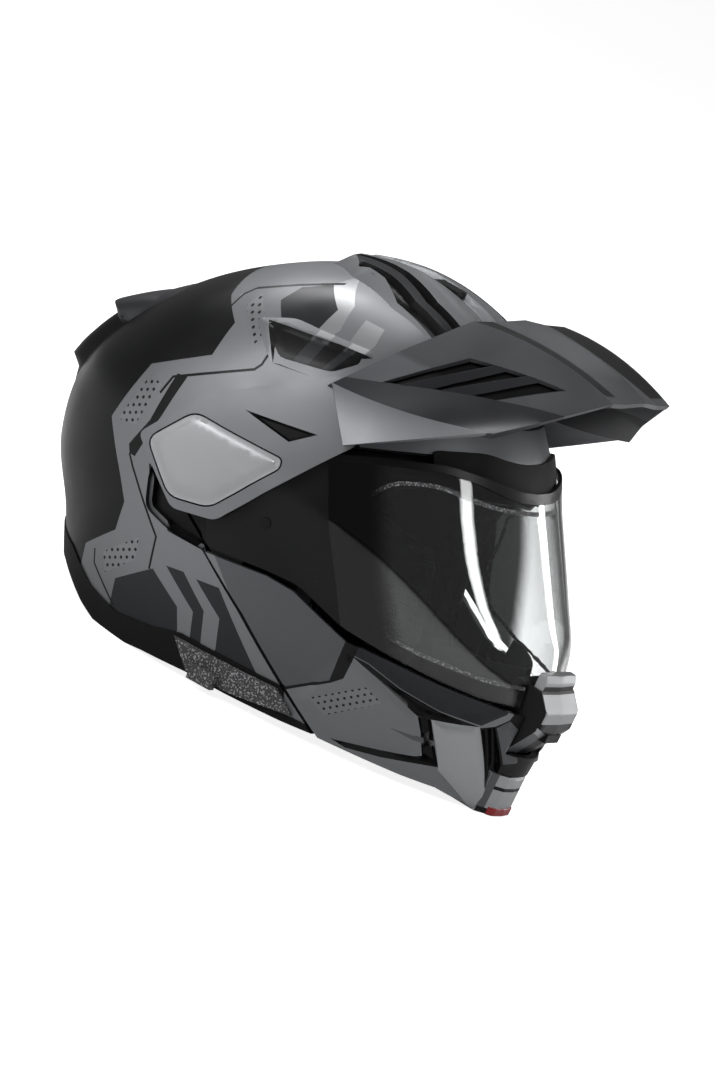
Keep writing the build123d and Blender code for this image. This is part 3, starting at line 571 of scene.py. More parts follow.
print(len(bpy.data.materials), "materials so far")


# %% Dotted paint, specks, cloth and glass
def dotted(name, base, colour, pitch, radius, lean):
    """Paint with rows of dots in the side view: a dot where the distance to the nearest lattice point
    is under the radius."""
    made = finish(name, base, 0.40, 0.7, grain=2200, relief=0.012)
    tree = made.node_tree
    turned = add_node(tree, "Mapping", {"Rotation": (lean, 0, 0), "Scale": (0, 1 / (pitch * MM), 1 / (pitch * MM)),
                                        "Vector": add_node(tree, "TexCoord").outputs["Object"]})
    _, along, height = add_node(tree, "SeparateXYZ", {0: turned.outputs[0]}).outputs
    shifted = math_node(tree, "MULTIPLY_ADD", math_node(tree, "FLOOR", height), 0.5, along)
    y, z = (math_node(tree, "SUBTRACT", math_node(tree, "FRACT", v), 0.5) for v in (shifted, height))
    away = math_node(tree, "SQRT", math_node(tree, "MULTIPLY_ADD", y, y, math_node(tree, "MULTIPLY", z, z)))
    return over(made, math_node(tree, "LESS_THAN", away, radius / pitch), colour)


def speckled(name, base, speck):
    """Dark plastic with pale mica specks: fine noise above a limit."""
    made = finish(name, base, 0.55, grain=1300, relief=0.1)
    tree = made.node_tree
    place = add_node(tree, "TexCoord").outputs["Object"]
    grit = add_node(tree, "TexNoise", {"Scale": 900.0, "Vector": place}).outputs["Fac"]
    return over(made, math_node(tree, "GREATER_THAN", grit, 0.58), speck)


def woven(name, colour, pitch, relief):
    """Cloth: two sets of threads at right angles, each a wave, the higher one on top, with a soft sheen and
    painted shade in the gaps where both threads lie low.
    """
    made = finish(name, colour, 0.85, vary=0.25, grain=1500, relief=0.05, gleam=0.08)
    tree = made.node_tree
    bsdf = tree.nodes["Principled BSDF"]
    x, y, z = add_node(tree, "SeparateXYZ", {0: add_node(tree, "TexCoord").outputs["Object"]}).outputs
    turns = 2 * np.pi / (pitch * MM)
    warp, weft = (math_node(tree, "SINE", math_node(tree, "MULTIPLY", v, turns))
                  for v in (math_node(tree, "ADD", x, y), z))
    height = math_node(tree, "MAXIMUM", warp, weft)
    bump = add_node(tree, "Bump", {"Strength": 0.8, "Distance": relief * MM, "Height": height,
                                   "Normal": bsdf.inputs["Normal"].links[0].from_socket})
    feed(tree, bsdf, {"Normal": bump.outputs[0], "Sheen Weight": 0.05, "Sheen Roughness": 0.5})
    # painted shade: where both threads lie low, between them, the colour drops to 0.35 of itself
    return over(made, math_node(tree, "LESS_THAN", height, -0.2), tuple(c * 0.35 for c in colour))


def clear(name, colour):
    """Polycarbonate: light goes through, with a faint haze and tint from broad noise."""
    made = bpy.data.materials.new(name)
    made.use_nodes = True
    tree = made.node_tree
    place = add_node(tree, "TexCoord").outputs["Object"]
    haze = add_node(tree, "TexNoise", {"Scale": 40.0, "Vector": place}).outputs["Fac"]
    rough = add_node(tree, "MapRange", {"To Min": 0.0, "To Max": 0.03, "Value": haze})
    tint = add_node(tree, "Mix", {"A": (*colour, 1), "B": (*[c * 0.97 for c in colour], 1), "Factor": haze},
                    data_type="RGBA")
    feed(tree, tree.nodes["Principled BSDF"], {"Transmission Weight": 1.0, "IOR": 1.45,
                                               "Roughness": rough.outputs[0],
                                               "Base Color": tint.outputs["Result"]})
    return made


dot_paint = dotted("dot_paint", (0.24, 0.245, 0.255), (0.02, 0.02, 0.022), 4.2, 0.95, 0.5)
chin_dot_paint = dotted("chin_dot_paint", (0.24, 0.245, 0.255), (0.02, 0.02, 0.022), 3.5, 0.75, 0.68)
mica_plastic = speckled("mica_plastic", (0.05, 0.05, 0.052), (0.35, 0.35, 0.36))
lining_cloth = woven("lining_cloth", (0.004, 0.004, 0.0045), 1.6, 0.15)
webbing = woven("webbing", (0.005, 0.005, 0.005), 1.1, 0.25)
foam_black = finish("foam_black", (0.004, 0.004, 0.004), 0.9, grain=700, relief=0.2, gleam=0.05)
clear_lens = clear("clear_lens", (0.97, 0.98, 0.98))


def shade_tinted_sides(name, clear_at, dark_at, dark):
    """A clear lens whose painted shade, a tint for the dark inside seen through it, deepens towards the ears. The
    level as worn is y * -cos(tilt) + z * sin(tilt), in millimetres from the pivot axis; the tint is full under
    dark_at and none over clear_at."""
    made = clear(name, (0.97, 0.98, 0.98))
    tree = made.node_tree
    forward = add_node(tree, "VectorMath", {0: add_node(tree, "TexCoord").outputs["Object"], 1: level_forward},
                       operation="DOT_PRODUCT")
    axis = float(pivot @ level_forward)
    ramp = add_node(tree, "MapRange", {"From Min": axis + dark_at * MM, "From Max": axis + clear_at * MM,
                                       "To Min": 1.0, "To Max": 0.0, "Value": forward.outputs["Value"]},
                    interpolation_type="SMOOTHSTEP")
    return over(made, ramp.outputs[0], dark)


level_forward = np.array([0.0, -np.cos(tilt), np.sin(tilt)])
# painted shade: the shield pane darkens towards the ears for the dark inside seen through it
shield_pane = shade_tinted_sides("shield_pane", 98.0, 84.0, (0.02, 0.023, 0.022))
smoke_lens = clear("smoke_lens", (0.10, 0.10, 0.11))
print(len(bpy.data.materials), "materials")

# %% [markdown]
# Everything that moves or stays is named by its CAD body. These outlines are the ones that shaped the solids,
# as shares of the side view size, backwards and upwards from the pivot axis.
# %% Outlines of the main pieces
rim = drawn([(1.3, -0.60), (0.80, -0.62), (0.471, -0.663), (0.292, -0.747), (0.125, -0.777), (-0.053, -0.743),
             (-0.186, -0.702), (-0.415, -0.698), (-0.64, -0.697), (-0.67, -0.80), (-1.7, -0.80), (-1.7, -2.8),
             (1.3, -2.8)])
front_zone = drawn([(0.03, -0.27), (0.03, 0.05), (-0.25, 0.26), (-0.45, 0.275), (-0.545, 0.31), (-0.80, 0.41),
                    (-1.3, 0.45), (-1.7, 0.40), (-1.7, -0.95), (-0.95, -0.95), (-0.80, -0.83), (-0.63, -0.704),
                    (-0.37, -0.511), (-0.145, -0.366)], rounding=4)
opening = drawn([(-1.7, 0.30), (-0.80, 0.275), (-0.62, 0.17), (-0.56, 0), (-0.56, -0.25), (-0.62, -0.5),
                 (-0.72, -0.62), (-0.90, -0.78), (-0.95, -1.2), (-1.7, -1.2)], rounding=8)
chin = drawn([(-0.155, -0.356), (-0.413, -0.324), (-0.529, -0.331), (-0.775, -0.42), (-0.98, -0.425),
              (-1.12, -0.432), (-1.33, -0.435), (-1.7, -0.435), (-1.7, -0.872), (-1.386, -0.872),
              (-1.344, -0.857), (-1.238, -0.828), (-1.124, -0.831), (-0.944, -0.828), (-0.82, -0.827),
              (-0.65, -0.697), (-0.39, -0.503)], 2.0)
shield = drawn([(-0.469, 0.242), (-0.545, 0.278), (-0.781, 0.362), (-0.90, 0.36), (-1.0, 0.32), (-1.7, 0.32),
                (-1.7, -0.42), (-1.315, -0.42), (-1.12, -0.415), (-0.973, -0.404), (-0.745, -0.376),
                (-0.534, -0.30), (-0.389, -0.306), (-0.148, -0.335), (-0.06, -0.16), (-0.04, 0.13), (-0.2, 0.2)],
               rounding=5)
arm = drawn([(0.296, -0.07), (0.116, 0.181), (-0.304, 0.49), (-0.491, 0.294), (-0.15, -0.212), (0.035, -0.253)],
            1.6, rounding=4)
lid = drawn([(0.248, -0.069), (0.114, 0.109), (-0.277, 0.12), (-0.285, 0.086), (-0.107, -0.177), (0.064, -0.216)],
            1.4, rounding=6)
print("outlines drawn")

# %% [markdown]
# The outer shell is one moulding in near-black satin. A wide angular field of silver covers its front part,
# with plain blocks, dots and thin lines in it; all of this is paint, so the mesh is only split along the
# borders and the triangles inside take another finish. Round recesses at the temples hold the arms.
# %% Outer shell
def stripe(shares, width):
    """A painted line: the polyline's two sides, half a width away along the bisectors of its steps."""
    p = drawn(shares, 2.5, closed=False)
    d = np.gradient(p, axis=0)
    n = np.column_stack([-d[:, 1], d[:, 0]]) / np.linalg.norm(d, axis=1, keepdims=True) * width / 2
    return np.concatenate([p + n, (p - n)[::-1], (p + n)[:1]])


silver_zone = drawn([(0.43, 1.0), (0.43, 0.62), (0.36, 0.52), (0.23, 0.46), (0.22, 0.32), (0.45, 0.16),
                     (0.50, -0.10), (0.27, -0.36), (0.26, -0.48), (0.39, -0.61), (0.37, -0.95), (-1.7, -0.95),
                     (-1.7, 1.0)])
dark_slash = drawn([(0.31, 0.19), (0.315, -0.02), (0.36, -0.15), (0.34, -0.18), (0.31, -0.18), (0.275, 0.02),
                    (0.26, 0.20)])
low_blocks = [drawn([(0.18, -0.655), (0.03, -0.53), (-0.13, -0.615), (-0.165, -0.70), (-0.16, -0.95),
                     (0.15, -0.95)]),
              drawn([(-0.02, -0.49), (-0.10, -0.475), (-0.24, -0.575), (-0.275, -0.70), (-0.27, -0.95),
                     (-0.225, -0.95), (-0.225, -0.70), (-0.20, -0.60)]),
              drawn([(-0.16, -0.475), (-0.26, -0.46), (-0.80, -0.95), (-0.335, -0.95), (-0.34, -0.69),
                     (-0.31, -0.57)])]
crown_plate = drawn([(0.14, 0.61), (0.12, 0.68), (0.03, 0.74), (-0.06, 0.71), (-0.085, 0.685), (-0.09, 0.60),
                     (0.05, 0.55)])
crown_bars = [drawn([(0.0, 0.80), (-0.12, 0.72), (-0.16, 0.63), (-0.145, 0.58), (-0.09, 0.58), (-0.085, 0.685),
                     (0.03, 0.74)]),
              drawn([(-0.20, 0.70), (-0.28, 0.70), (-0.305, 0.64), (-0.30, 0.575), (-0.24, 0.575), (-0.22, 0.62)])]
dot_fields = [drawn([(0.25, 0.53), (0.24, 0.59), (0.07, 0.51), (0.09, 0.43)]),
              drawn([(0.42, 0.13), (0.35, 0.12), (0.37, -0.07), (0.46, -0.09)]),
              drawn([(0.28, -0.59), (0.14, -0.45), (0.12, -0.54), (0.24, -0.66)])]
keylines = [stripe([(0.34, -0.18), (0.30, -0.22), (0.07, -0.41), (0.045, -0.54)], 1.3),
            stripe([(0.23, -0.17), (0.20, -0.22), (0.03, -0.36), (-0.11, -0.355)], 1.3),
            stripe([(0.33, -0.60), (0.31, -0.655), (0.15, -0.76)], 1.2),
            stripe([(0.012, 0.51), (0.005, 0.39), (0.02, 0.36), (0.32, 0.17), (0.335, 0.09)], 1.5),
            stripe([(0.31, 0.49), (0.31, 0.55), (0.285, 0.59), (0.14, 0.68), (0.0, 0.76)], 1.2)]
recess = drawn([(0.03, -0.36), (0.17, -0.33), (0.22, -0.20), (0.215, 0.02), (0.12, 0.18), (-0.10, 0.30),
                (-0.31, 0.36), (-0.50, 0.30), (-0.50, -0.36)], rounding=5)
recess_foot = inset(recess, 0.8)
RECESS_REACH = 115.0             # how far out the floor of a recess lies, in millimetres


def temple(points):
    """Flattens the recesses: inside their outline the shell comes no further out than their floor."""
    yz = points[:, 1:]
    low = inside(recess_foot, yz) | inside(recess, yz) & (edge_distance(recess, yz) > 0.5)
    points = points.copy()
    points[low, 0] = np.minimum(points[low, 0], RECESS_REACH)
    return points


shell = panel(
    "shell", shell_skin,
    [rim, front_zone, silver_zone, dark_slash, *low_blocks, crown_plate, *crown_bars, *dot_fields, *keylines,
     recess, recess_foot],
    lambda p: ~inside(rim, p[:, 1:]) & ~inside(front_zone, p[:, 1:]),
    [black_paint, silver_paint, slate_paint, dot_paint, black_plastic, band_paint],
    paint=[*painted(1, silver_zone), *painted(2, *low_blocks, crown_plate), *painted(5, *crown_bars),
           *painted(0, dark_slash), *painted(3, *dot_fields), *painted(0, *keylines), *painted(4, recess)],
    gap=3.0, wall=3.5, shape=temple)[0]
mount(shell, "shell", "shell_paint", "outer_shell")

# %% [markdown]
# In front, the shell steps down to a frame round the eyeport, so that the shield and the chin bar close flush
# with the skin. The frame is a second panel 9 mm deeper, and a narrow wall joins the two levels.
# %% Eyeport frame
eyeport = panel("eyeport_frame", shell_skin, [rim, front_zone, opening],
                lambda p: ~inside(rim, p[:, 1:]) & inside(front_zone, p[:, 1:]) & ~inside(opening, p[:, 1:]),
                [black_plastic], lift=even_lift(-9.0), gap=3.5, wall=3.5, shape=temple)[0]
mount(eyeport, "shell", "shell_paint")


def step_wall(name, skin, loop, high, low, finish_used, keep):
    """A wall between two lifts along a side view loop: two rows of points, joined by quads, on both sides."""
    points, faces, count = [], [], 0
    for line in side_lines(skin, loop):
        top, foot = skin_point(skin, line, high), skin_point(skin, line, low)
        good = keep(top)
        n = good.sum()
        for side in (1, -1):
            points.append(np.concatenate([top[good], foot[good]]) * [side, 1, 1])
            faces.append(grid_faces(n, 2) + count)
            count += 2 * n
    made = piece(name, np.concatenate(points), np.concatenate(faces), [finish_used])
    return thicken(made, 1.2, 0.0)


step = step_wall("eyeport_step", shell_skin, front_zone, -1.0, -9.5, black_plastic,
                 lambda p: (p[:, 2] > -115) & (np.hypot(p[:, 1], p[:, 2]) > 60))
mount(step, "shell", "shell_paint")
print("shell, eyeport frame and step")

# %% [markdown]
# The chin bar is a facetted moulding in silver with dark blocks. Facets are heights over the skin: each is a
# plateau whose border slopes over a millimetre or two, and the border lines are mesh edges, so they stay
# crisp in the highlights. What faces forward is drawn in the front view, the rest in the side view.
# %% Chin bar
nose_hole, block_hole = (23.3, -84.3, -59.9), (22.3, -130.0, -96.3)
top_facet = drawn([(-0.81, -0.455), (-0.81, -0.30), (-1.36, -0.30), (-1.345, -0.445), (-1.293, -0.521),
                   (-1.16, -0.525), (-1.011, -0.50), (-0.884, -0.461)], 1.8)
groove = drawn([(-0.81, -0.458), (-0.884, -0.464), (-1.011, -0.503), (-1.16, -0.528), (-1.293, -0.527),
                (-1.155, -0.574), (-1.10, -0.576), (-0.964, -0.514)], 1.6)
side_facet = drawn([(-0.80, -0.458), (-0.958, -0.514), (-1.098, -0.577), (-1.168, -0.745), (-1.04, -0.764),
                    (-0.874, -0.81), (-0.70, -0.71)], 1.8)
side_vent = drawn([(-1.104, -0.577), (-1.15, -0.573), (-1.228, -0.742), (-1.173, -0.757), (-1.167, -0.72),
                   (-1.134, -0.632)], 1.4)
vent_blade = drawn([(-1.03, -0.66), (-1.187, -0.648), (-1.192, -0.672), (-1.13, -0.672)], 1.4)
low_slash = drawn([(-0.86, -0.804), (-1.036, -0.766), (-1.17, -0.722), (-1.228, -0.742), (-1.044, -0.793),
                   (-0.921, -0.816)], 1.4)
side_block = drawn([(-0.10, -0.25), (-0.413, -0.25), (-0.56, -0.29), (-0.775, -0.40), (-0.783, -0.585),
                    (-0.648, -0.689), (-0.54, -0.661), (-0.13, -0.29)], 1.8)
block_edge = drawn([(-0.775, -0.38), (-0.83, -0.40), (-0.825, -0.555), (-0.79, -0.592), (-0.65, -0.702),
                    (-0.53, -0.672), (-0.54, -0.661), (-0.648, -0.689), (-0.783, -0.585)], 1.8)
chin_dots = drawn([(-0.741, -0.685), (-0.908, -0.549), (-0.981, -0.583), (-0.816, -0.723)], 1.8)

front_facet = drawn([(0.452, -0.572), (0.31, -0.528), (0.172, -0.757), (0.150, -0.779), (0.066, -0.84),
                     (0.107, -0.90), (0.355, -0.755)], 1.8)
grille_loop = drawn([(0.300, -0.537), (0.262, -0.509), (0.156, -0.655), (0.150, -0.70), (0.152, -0.774),
                     (0.170, -0.757)], 1.2)
centre_zone = drawn([(0.0, -0.42), (0.215, -0.42), (0.222, -0.461), (0.26, -0.505), (0.308, -0.532),
                     (0.172, -0.757), (0.150, -0.779), (0.066, -0.84), (0.0, -0.85)], 2.0)
cheek_plate = drawn([(0.254, -0.510), (0.219, -0.466), (0.165, -0.492), (0.165, -0.602), (0.10, -0.607),
                     (0.085, -0.628), (0.149, -0.648)], 1.4)


def hole_line(hole):
    """The outline of a square hole (half width, low, high) on the map, from the middle plane outwards."""
    wide, low, high = (v / SIZE for v in hole)
    low = max(low, -0.90)        # a little under the floor is low enough
    return front_lines(face_skin, drawn([(0, high), (wide, high), (wide, low), (0, low)], 2.0, closed=False))


def ahead(loop):
    """A test for the chin's front: inside a loop of the front view, on the part that faces forward."""
    return lambda p: inside(loop, flat_view(p, FRONT)) & (p[:, 1] < CHIN_FRONT)


def chin_keep(p):
    """The chin bar's triangles: inside its outline, above the floor, and outside its openings."""
    across, height = np.abs(p[:, 0]), p[:, 2]
    gone = ahead(grille_loop)(p)
    for wide, low, high in (nose_hole, block_hole):
        gone |= (across < wide) & (height > low) & (height < high) & (p[:, 1] < CHIN_FRONT)
    return inside(chin, p[:, 1:]) & (height > FLOOR) & ~gone


def chin_lift(p):
    """Heights of the chin bar's facets in millimetres."""
    front = (p[:, 1] < CHIN_FRONT) * 1.0
    return (raised(top_facet, -1.2, 5.0)(p) + raised(groove, -3.4, 2.4)(p) + raised(side_facet, 0.9, 2.0)(p)
            + raised(front_facet, 1.4, 2.5, FRONT)(p) * front - raised(low_slash, 2.2, 1.5)(p)
            - raised(side_vent, 3.6, 1.2)(p) * ~within(vent_blade)(p)
            + raised(cheek_plate, 1.2, 2.0, FRONT)(p) * front)


chin_bar = panel(
    "chin_bar", face_skin,
    [chin, top_facet, inset(top_facet, 5.0), groove, inset(groove, 2.4), side_facet, inset(side_facet, 2.0),
     side_vent, inset(side_vent, 1.2), vent_blade, low_slash, side_block, block_edge, chin_dots],
    chin_keep, [silver_paint, mid_paint, black_plastic, chin_dot_paint, black_paint, slate_paint, light_paint],
    lift=chin_lift,
    paint=[*painted(5, top_facet), *painted(4, groove), *painted(1, side_block), *painted(4, block_edge),
           *painted(3, chin_dots), *painted(4, low_slash), *painted(2, side_vent), *painted(1, vent_blade),
           (6, ahead(front_facet)), (2, ahead(centre_zone)), (1, ahead(cheek_plate))],
    gap=2.3, wall=4.0, soft=0.8,
    extra=[front_lines(face_skin, loop)
           for loop in (grille_loop, centre_zone, front_facet, inset(front_facet, 2.5), cheek_plate,
                        inset(cheek_plate, 2.0))] + [hole_line(nose_hole), hole_line(block_hole)])[0]
mount(chin_bar, "chin_bar", "silver_paint", "chin_bar_shell", "chin_side_vent_left", "chin_side_vent_right")

# %% [markdown]
# Between the front facet and the centre a narrow intake is let in. Behind its opening stands a black plate
# with upright ribs: its height is a sine of the distance across the opening.
# %% Intake grilles
rib_along = np.array([0.145, 0.265]) / np.hypot(0.145, 0.265)
intake = inset(grille_loop, -2.0)


def rib_height(p):
    """Three ribs side by side: 0.9 mm * sine of the distance square to the opening's long side."""
    square = np.abs(p[:, 0]) * rib_along[1] - p[:, 2] * rib_along[0]
    return -4.2 + 0.9 * np.sin(2 * np.pi * square / 3.6)


grilles = panel("intake", face_skin, [], ahead(intake), [black_plastic], lift=rib_height, gap=0.9, wall=1.6,
                soft=0.0, sides="pair", extra=[front_lines(face_skin, intake)])
for made, side in zip(grilles, ("left", "right")):
    mount(made, "chin_bar", "black_plastic", "chin_grille_" + side)

# %% [markdown]
# The face shield is a clear lens. A black border is printed round it, so its edge is drawn as a band of
# another finish on the same mesh. Inside sits the anti-fog lens with a pale seal along its edge, and over
# the shield's upper edge the shell carries a rubber seal.
# %% Face shield
window = inset(shield, 4.0)
ear_zone = drawn([(-0.266, 0.5), (-0.858, -0.6), (0.3, -0.6), (0.3, 0.5)], 3.0)


def shield_lift(p):
    """Just under the skin, and up to 4 mm further in where the nose block stands before the lens."""
    low = np.clip((-22 - p[:, 2]) / 20, 0, 1)
    centre = np.clip((55 - np.abs(p[:, 0])) / 30, 0, 1)
    return -0.4 - 4.0 * (3 * low**2 - 2 * low**3) * (3 * centre**2 - 2 * centre**3)


lens_out = panel("shield_window", face_skin, [shield, window, ear_zone], within(shield),
                 [shield_pane, black_paint], lift=shield_lift, gap=4.0, wall=2.2, soft=0.5,
                 paint=[(1, lambda p: ~inside(window, p[:, 1:]) & (p[:, 2] > -20)), *painted(1, ear_zone)])[0]
mount(lens_out, "face_shield", "clear", "shield_lens")
fog = drawn([(-0.66, 0.23), (-0.80, 0.29), (-0.95, 0.27), (-1.7, 0.27), (-1.7, -0.36), (-1.0, -0.36),
             (-0.72, -0.32), (-0.62, -0.2), (-0.60, 0.1)], rounding=8)
fog_in = inset(fog, 2.2)
lens_in = panel("antifog_window", face_skin, [fog, fog_in], within(fog), [clear_lens, mica_plastic],
                lift=lambda p: shield_lift(p) - 3.0, gap=4.0, wall=1.2, soft=0.3,
                paint=[(1, lambda p: ~inside(fog_in, p[:, 1:]))])[0]
mount(lens_in, "face_shield", "clear", "antifog_lens")

brow = drawn([(-0.76, 0.33), (-0.88, 0.335), (-1.0, 0.29), (-1.7, 0.29), (-1.7, 0.41), (-1.0, 0.41), (-0.84, 0.45),
              (-0.72, 0.40)], rounding=3)
brow_seal = panel("brow_seal", face_skin, [brow], within(brow), [rubber], lift=even_lift(-3.6),
                  gap=3.0, wall=2.4, soft=0.4)[0]
mount(brow_seal, "shell", "seal")

tab_spot = drawn([(0.135, -0.365), (0.225, -0.365), (0.235, -0.315), (0.145, -0.315)], 1.5)
tab = panel("thumb_tab", face_skin, [], ahead(tab_spot), [black_plastic], lift=even_lift(3.2),
            gap=1.6, wall=7.6, soft=0.8, sides="pair", extra=[front_lines(face_skin, tab_spot)])
bpy.data.objects.remove(tab[1])
mount(tab[0], "face_shield", "black_plastic", "shield_tab")

# %% [markdown]
# The peak is a folded sheet: two ridges with a channel between them, and a fin down each side to a pointed
# lower corner. It is worked out as a net of five lines running forward, each a parabola through three
# stations, with straight sheet between neighbouring lines.
# %% Peak net
stations = [((-0.58, 0.915), (-0.30, 0.46), [(0, 0.0), (0.25, 0.05), (0.45, 0.06), (0.69, 0.52), (0.855, 1)]),
            ((-0.89, 0.935), (-0.60, 0.49), [(0, 0.0), (0.18, 0.09), (0.36, 0.06), (0.60, 0.56), (0.76, 1)]),
            ((-1.196, 0.867), (-0.94, 0.585), [(0, 0.0), (0.17, 0.06), (0.286, 0.055), (0.50, 0.62), (0.69, 1)])]
net = np.array([[(a, b0 + (e0 - b0) * s, b1 + (e1 - b1) * s) for a, s in row]
                for (b0, b1), (e0, e1), row in stations]) * SIZE


def peak_point(uv):
    """uv: u 0..4 across over the five lines, v 0..1 forward. Forward each line is the parabola through its
    three stations; across, points go straight from line to line."""
    u, v = np.clip(uv[:, 0], 0, 4), uv[:, 1]
    i = np.minimum(u.astype(int), 3)
    t = (u - i)[:, None]
    w = [(1 - v) * (1 - 2 * v), 4 * v * (1 - v), v * (2 * v - 1)]
    a = sum(w[k][:, None] * net[k][i] for k in range(3))
    b = sum(w[k][:, None] * net[k][i + 1] for k in range(3))
    return a * (1 - t) + b * t


print("peak net", net.shape)

# %% Peak
vent_hole = [(3.57, 0.17), (2.60, 0.29), (2.31, 0.81), (3.01, 0.70)]
vent_loop = np.concatenate([np.linspace(a, b, 14, endpoint=False)
                            for a, b in zip(vent_hole, vent_hole[1:] + vent_hole[:1])] + [[vent_hole[0]]])
u_grid, v_grid = np.meshgrid(np.linspace(0, 4, 61), np.linspace(0, 1, 44))
border = [np.column_stack([np.full(44, float(u)), np.linspace(0, 1, 44)]) for u in range(5)]
border += [np.column_stack([np.linspace(0, 4, 61), np.full(61, v)]) for v in (0.0, 1.0)]
FIN_START, FIN_SLOPE = 3.75, 1.057     # the painted line down the fin: u = start - slope * v
fin_foot = np.column_stack([FIN_START - FIN_SLOPE * np.linspace(0, 1, 44), np.linspace(0, 1, 44)])
uv, faces = meshed(border + [vent_loop, fin_foot], np.column_stack([u_grid.ravel(), v_grid.ravel()]),
                   lambda m: ~inside(vent_loop, m), 0.012)

points = peak_point(uv)
faces = outward(points, faces)
middle = uv[faces].mean(1)
in_channel = (middle[:, 0] > 1.08) & (middle[:, 0] < 1.92) & (middle[:, 1] < 0.93)
on_fin = middle[:, 0] > FIN_START - FIN_SLOPE * middle[:, 1]
slots = np.where(on_fin, 2, np.where(in_channel, 1, 0))
whole, all_faces = both_halves(points, faces)
peak = piece("peak_top", whole, all_faces, [mid_paint, black_paint, grey_paint], np.concatenate([slots, slots]))
thicken(peak, 2.8, 0.9, 3)
mount(peak, "peak", "dark_paint", "peak_shell")
print("peak_top", len(peak.data.polygons), "triangles")

# %% [markdown]
# The side arms carry the peak and cover the pivots. Each is a shallow shell standing off the skin, with a
# window in which the lid sits flush, a dark gap round it.
# %% Arms and lids
lid_window = inset(lid, -0.9)
arm_slot = drawn([(-0.06, 0.215), (-0.35, 0.262), (-0.27, 0.19)], 1.5)
arm_pair = panel("arm", face_skin, [arm, lid_window, arm_slot, inset(arm_slot, 1.2)],
                 lambda p: inside(arm, p[:, 1:]) & ~inside(lid_window, p[:, 1:]), [silver_paint, black_plastic],
                 lift=lambda p: 6.1 + raised(arm_slot, -1.8, 1.2)(p), gap=2.2, wall=2.4, soft=0.7, sides="pair",
                 paint=painted(1, arm_slot))
lid_groove = inset(lid, 2.6)
lid_pair = panel("lid", face_skin, [lid, lid_groove, inset(lid_groove, 0.7)], within(lid), [light_paint],
                 lift=lambda p: 6.0 - 0.35 * (edge_distance(lid_groove, p[:, 1:]) < 0.3), gap=2.2, wall=1.2,
                 soft=0.7, sides="pair")
under = drawn([(0.27, -0.07), (0.11, 0.15), (-0.30, 0.16), (-0.31, 0.08), (-0.12, -0.2), (0.05, -0.235)], 2.0)
plate_pair = panel("arm_plate", face_skin, [under], within(under), [black_plastic],
                   lift=even_lift(4.6), gap=4.0, wall=0.8, soft=0.0, sides="pair")
for arm_made, lid_made, plate_made, side in zip(arm_pair, lid_pair, plate_pair, ("left", "right")):
    mount(arm_made, "peak", "silver_paint", "peak_arm_" + side)
    mount(lid_made, "peak", "silver_paint", "side_lid_" + side)
    mount(plate_made, "peak", "black_plastic")
print("arms and lids on both sides")

# %% [markdown]
# In each fin a vent is let in: a dark tray under the opening, crossed by slanting blades. The tray and the
# blades are nets over the same two numbers as the peak, pushed inwards.
# %% Peak vents
def net_normal(uv):
    """The peak's outward direction: the cross product of its two slopes, by small steps."""
    step_u, step_v = np.array([[1e-3, 0.0]]), np.array([[0.0, 1e-3]])
    n = np.cross(*(peak_point(uv + step) - peak_point(uv - step) for step in (step_u, step_v)))
    n = n / np.maximum(np.linalg.norm(n, axis=1, keepdims=True), 1e-9)
    return n * np.sign((n * peak_point(uv)).sum(1, keepdims=True))


def net_patch(corners, across, along, depth_fn):
    """A four-cornered patch of the peak's net, moved along the normal by depth_fn(s, t)."""
    s, t = (g.ravel()[:, None] for g in np.meshgrid(np.linspace(0, 1, across), np.linspace(0, 1, along)))
    c = np.array(corners, float)
    uv = (1 - s) * (1 - t) * c[0] + s * (1 - t) * c[1] + s * t * c[2] + (1 - s) * t * c[3]
    return peak_point(uv) + net_normal(uv) * depth_fn(s, t), grid_faces(across, along)


def joined(parts):
    """Several (points, faces) nets as one."""
    points = np.concatenate([p for p, _ in parts])
    starts = np.cumsum([0] + [len(p) for p, _ in parts[:-1]])
    return points, np.concatenate([f + s for (_, f), s in zip(parts, starts)])


hole = np.array(vent_hole)
hole_middle = hole.mean(0)
grown = hole_middle + (hole - hole_middle) * 1.06
tray = [net_patch(grown, 12, 12, lambda s, t: -3.6 + 0 * s)]
for a, b in zip(grown, np.roll(grown, -1, 0)):
    tray.append(net_patch([a, b, b, a], 8, 3, lambda s, t: -2.4 - 1.3 * t))
blades = []
for first in (0.16, 0.50):
    low_a, low_b = (hole[0] + (hole[3] - hole[0]) * share for share in (first, first + 0.26))
    top_a, top_b = (hole[1] + (hole[2] - hole[1]) * share for share in (first + 0.10, first + 0.24))
    blades.append(net_patch([low_a, low_b, top_b, top_a], 4, 14, lambda s, t: -0.4 - 1.9 * s))
rim_line = []
for a, b in zip(hole, np.roll(hole, -1, 0)):
    towards = (hole_middle - (a + b) / 2) * 0.10
    rim_line.append(net_patch([a, b, b + towards, a + towards], 12, 3, lambda s, t: -0.2 - 1.6 * t))
for side, sign in (("left", 1), ("right", -1)):
    for name, parts, used, wall, soft, stands_for in (
            ("vent_tray_", tray, black_plastic, 0.8, 0.0, []),
            ("vent_blades_", blades, grey_paint, 1.0, 0.25, ["peak_louvre_" + side]),
            ("vent_rim_", rim_line, grey_paint, 0.8, 0.25, [])):
        points, faces = joined(parts)
        made = piece(name + side, points * [sign, 1, 1], faces if sign > 0 else faces[:, ::-1], [used])
        thicken(made, wall, soft)
        mount(made, "peak", "black_plastic", *stands_for)
print("vents in both fins")

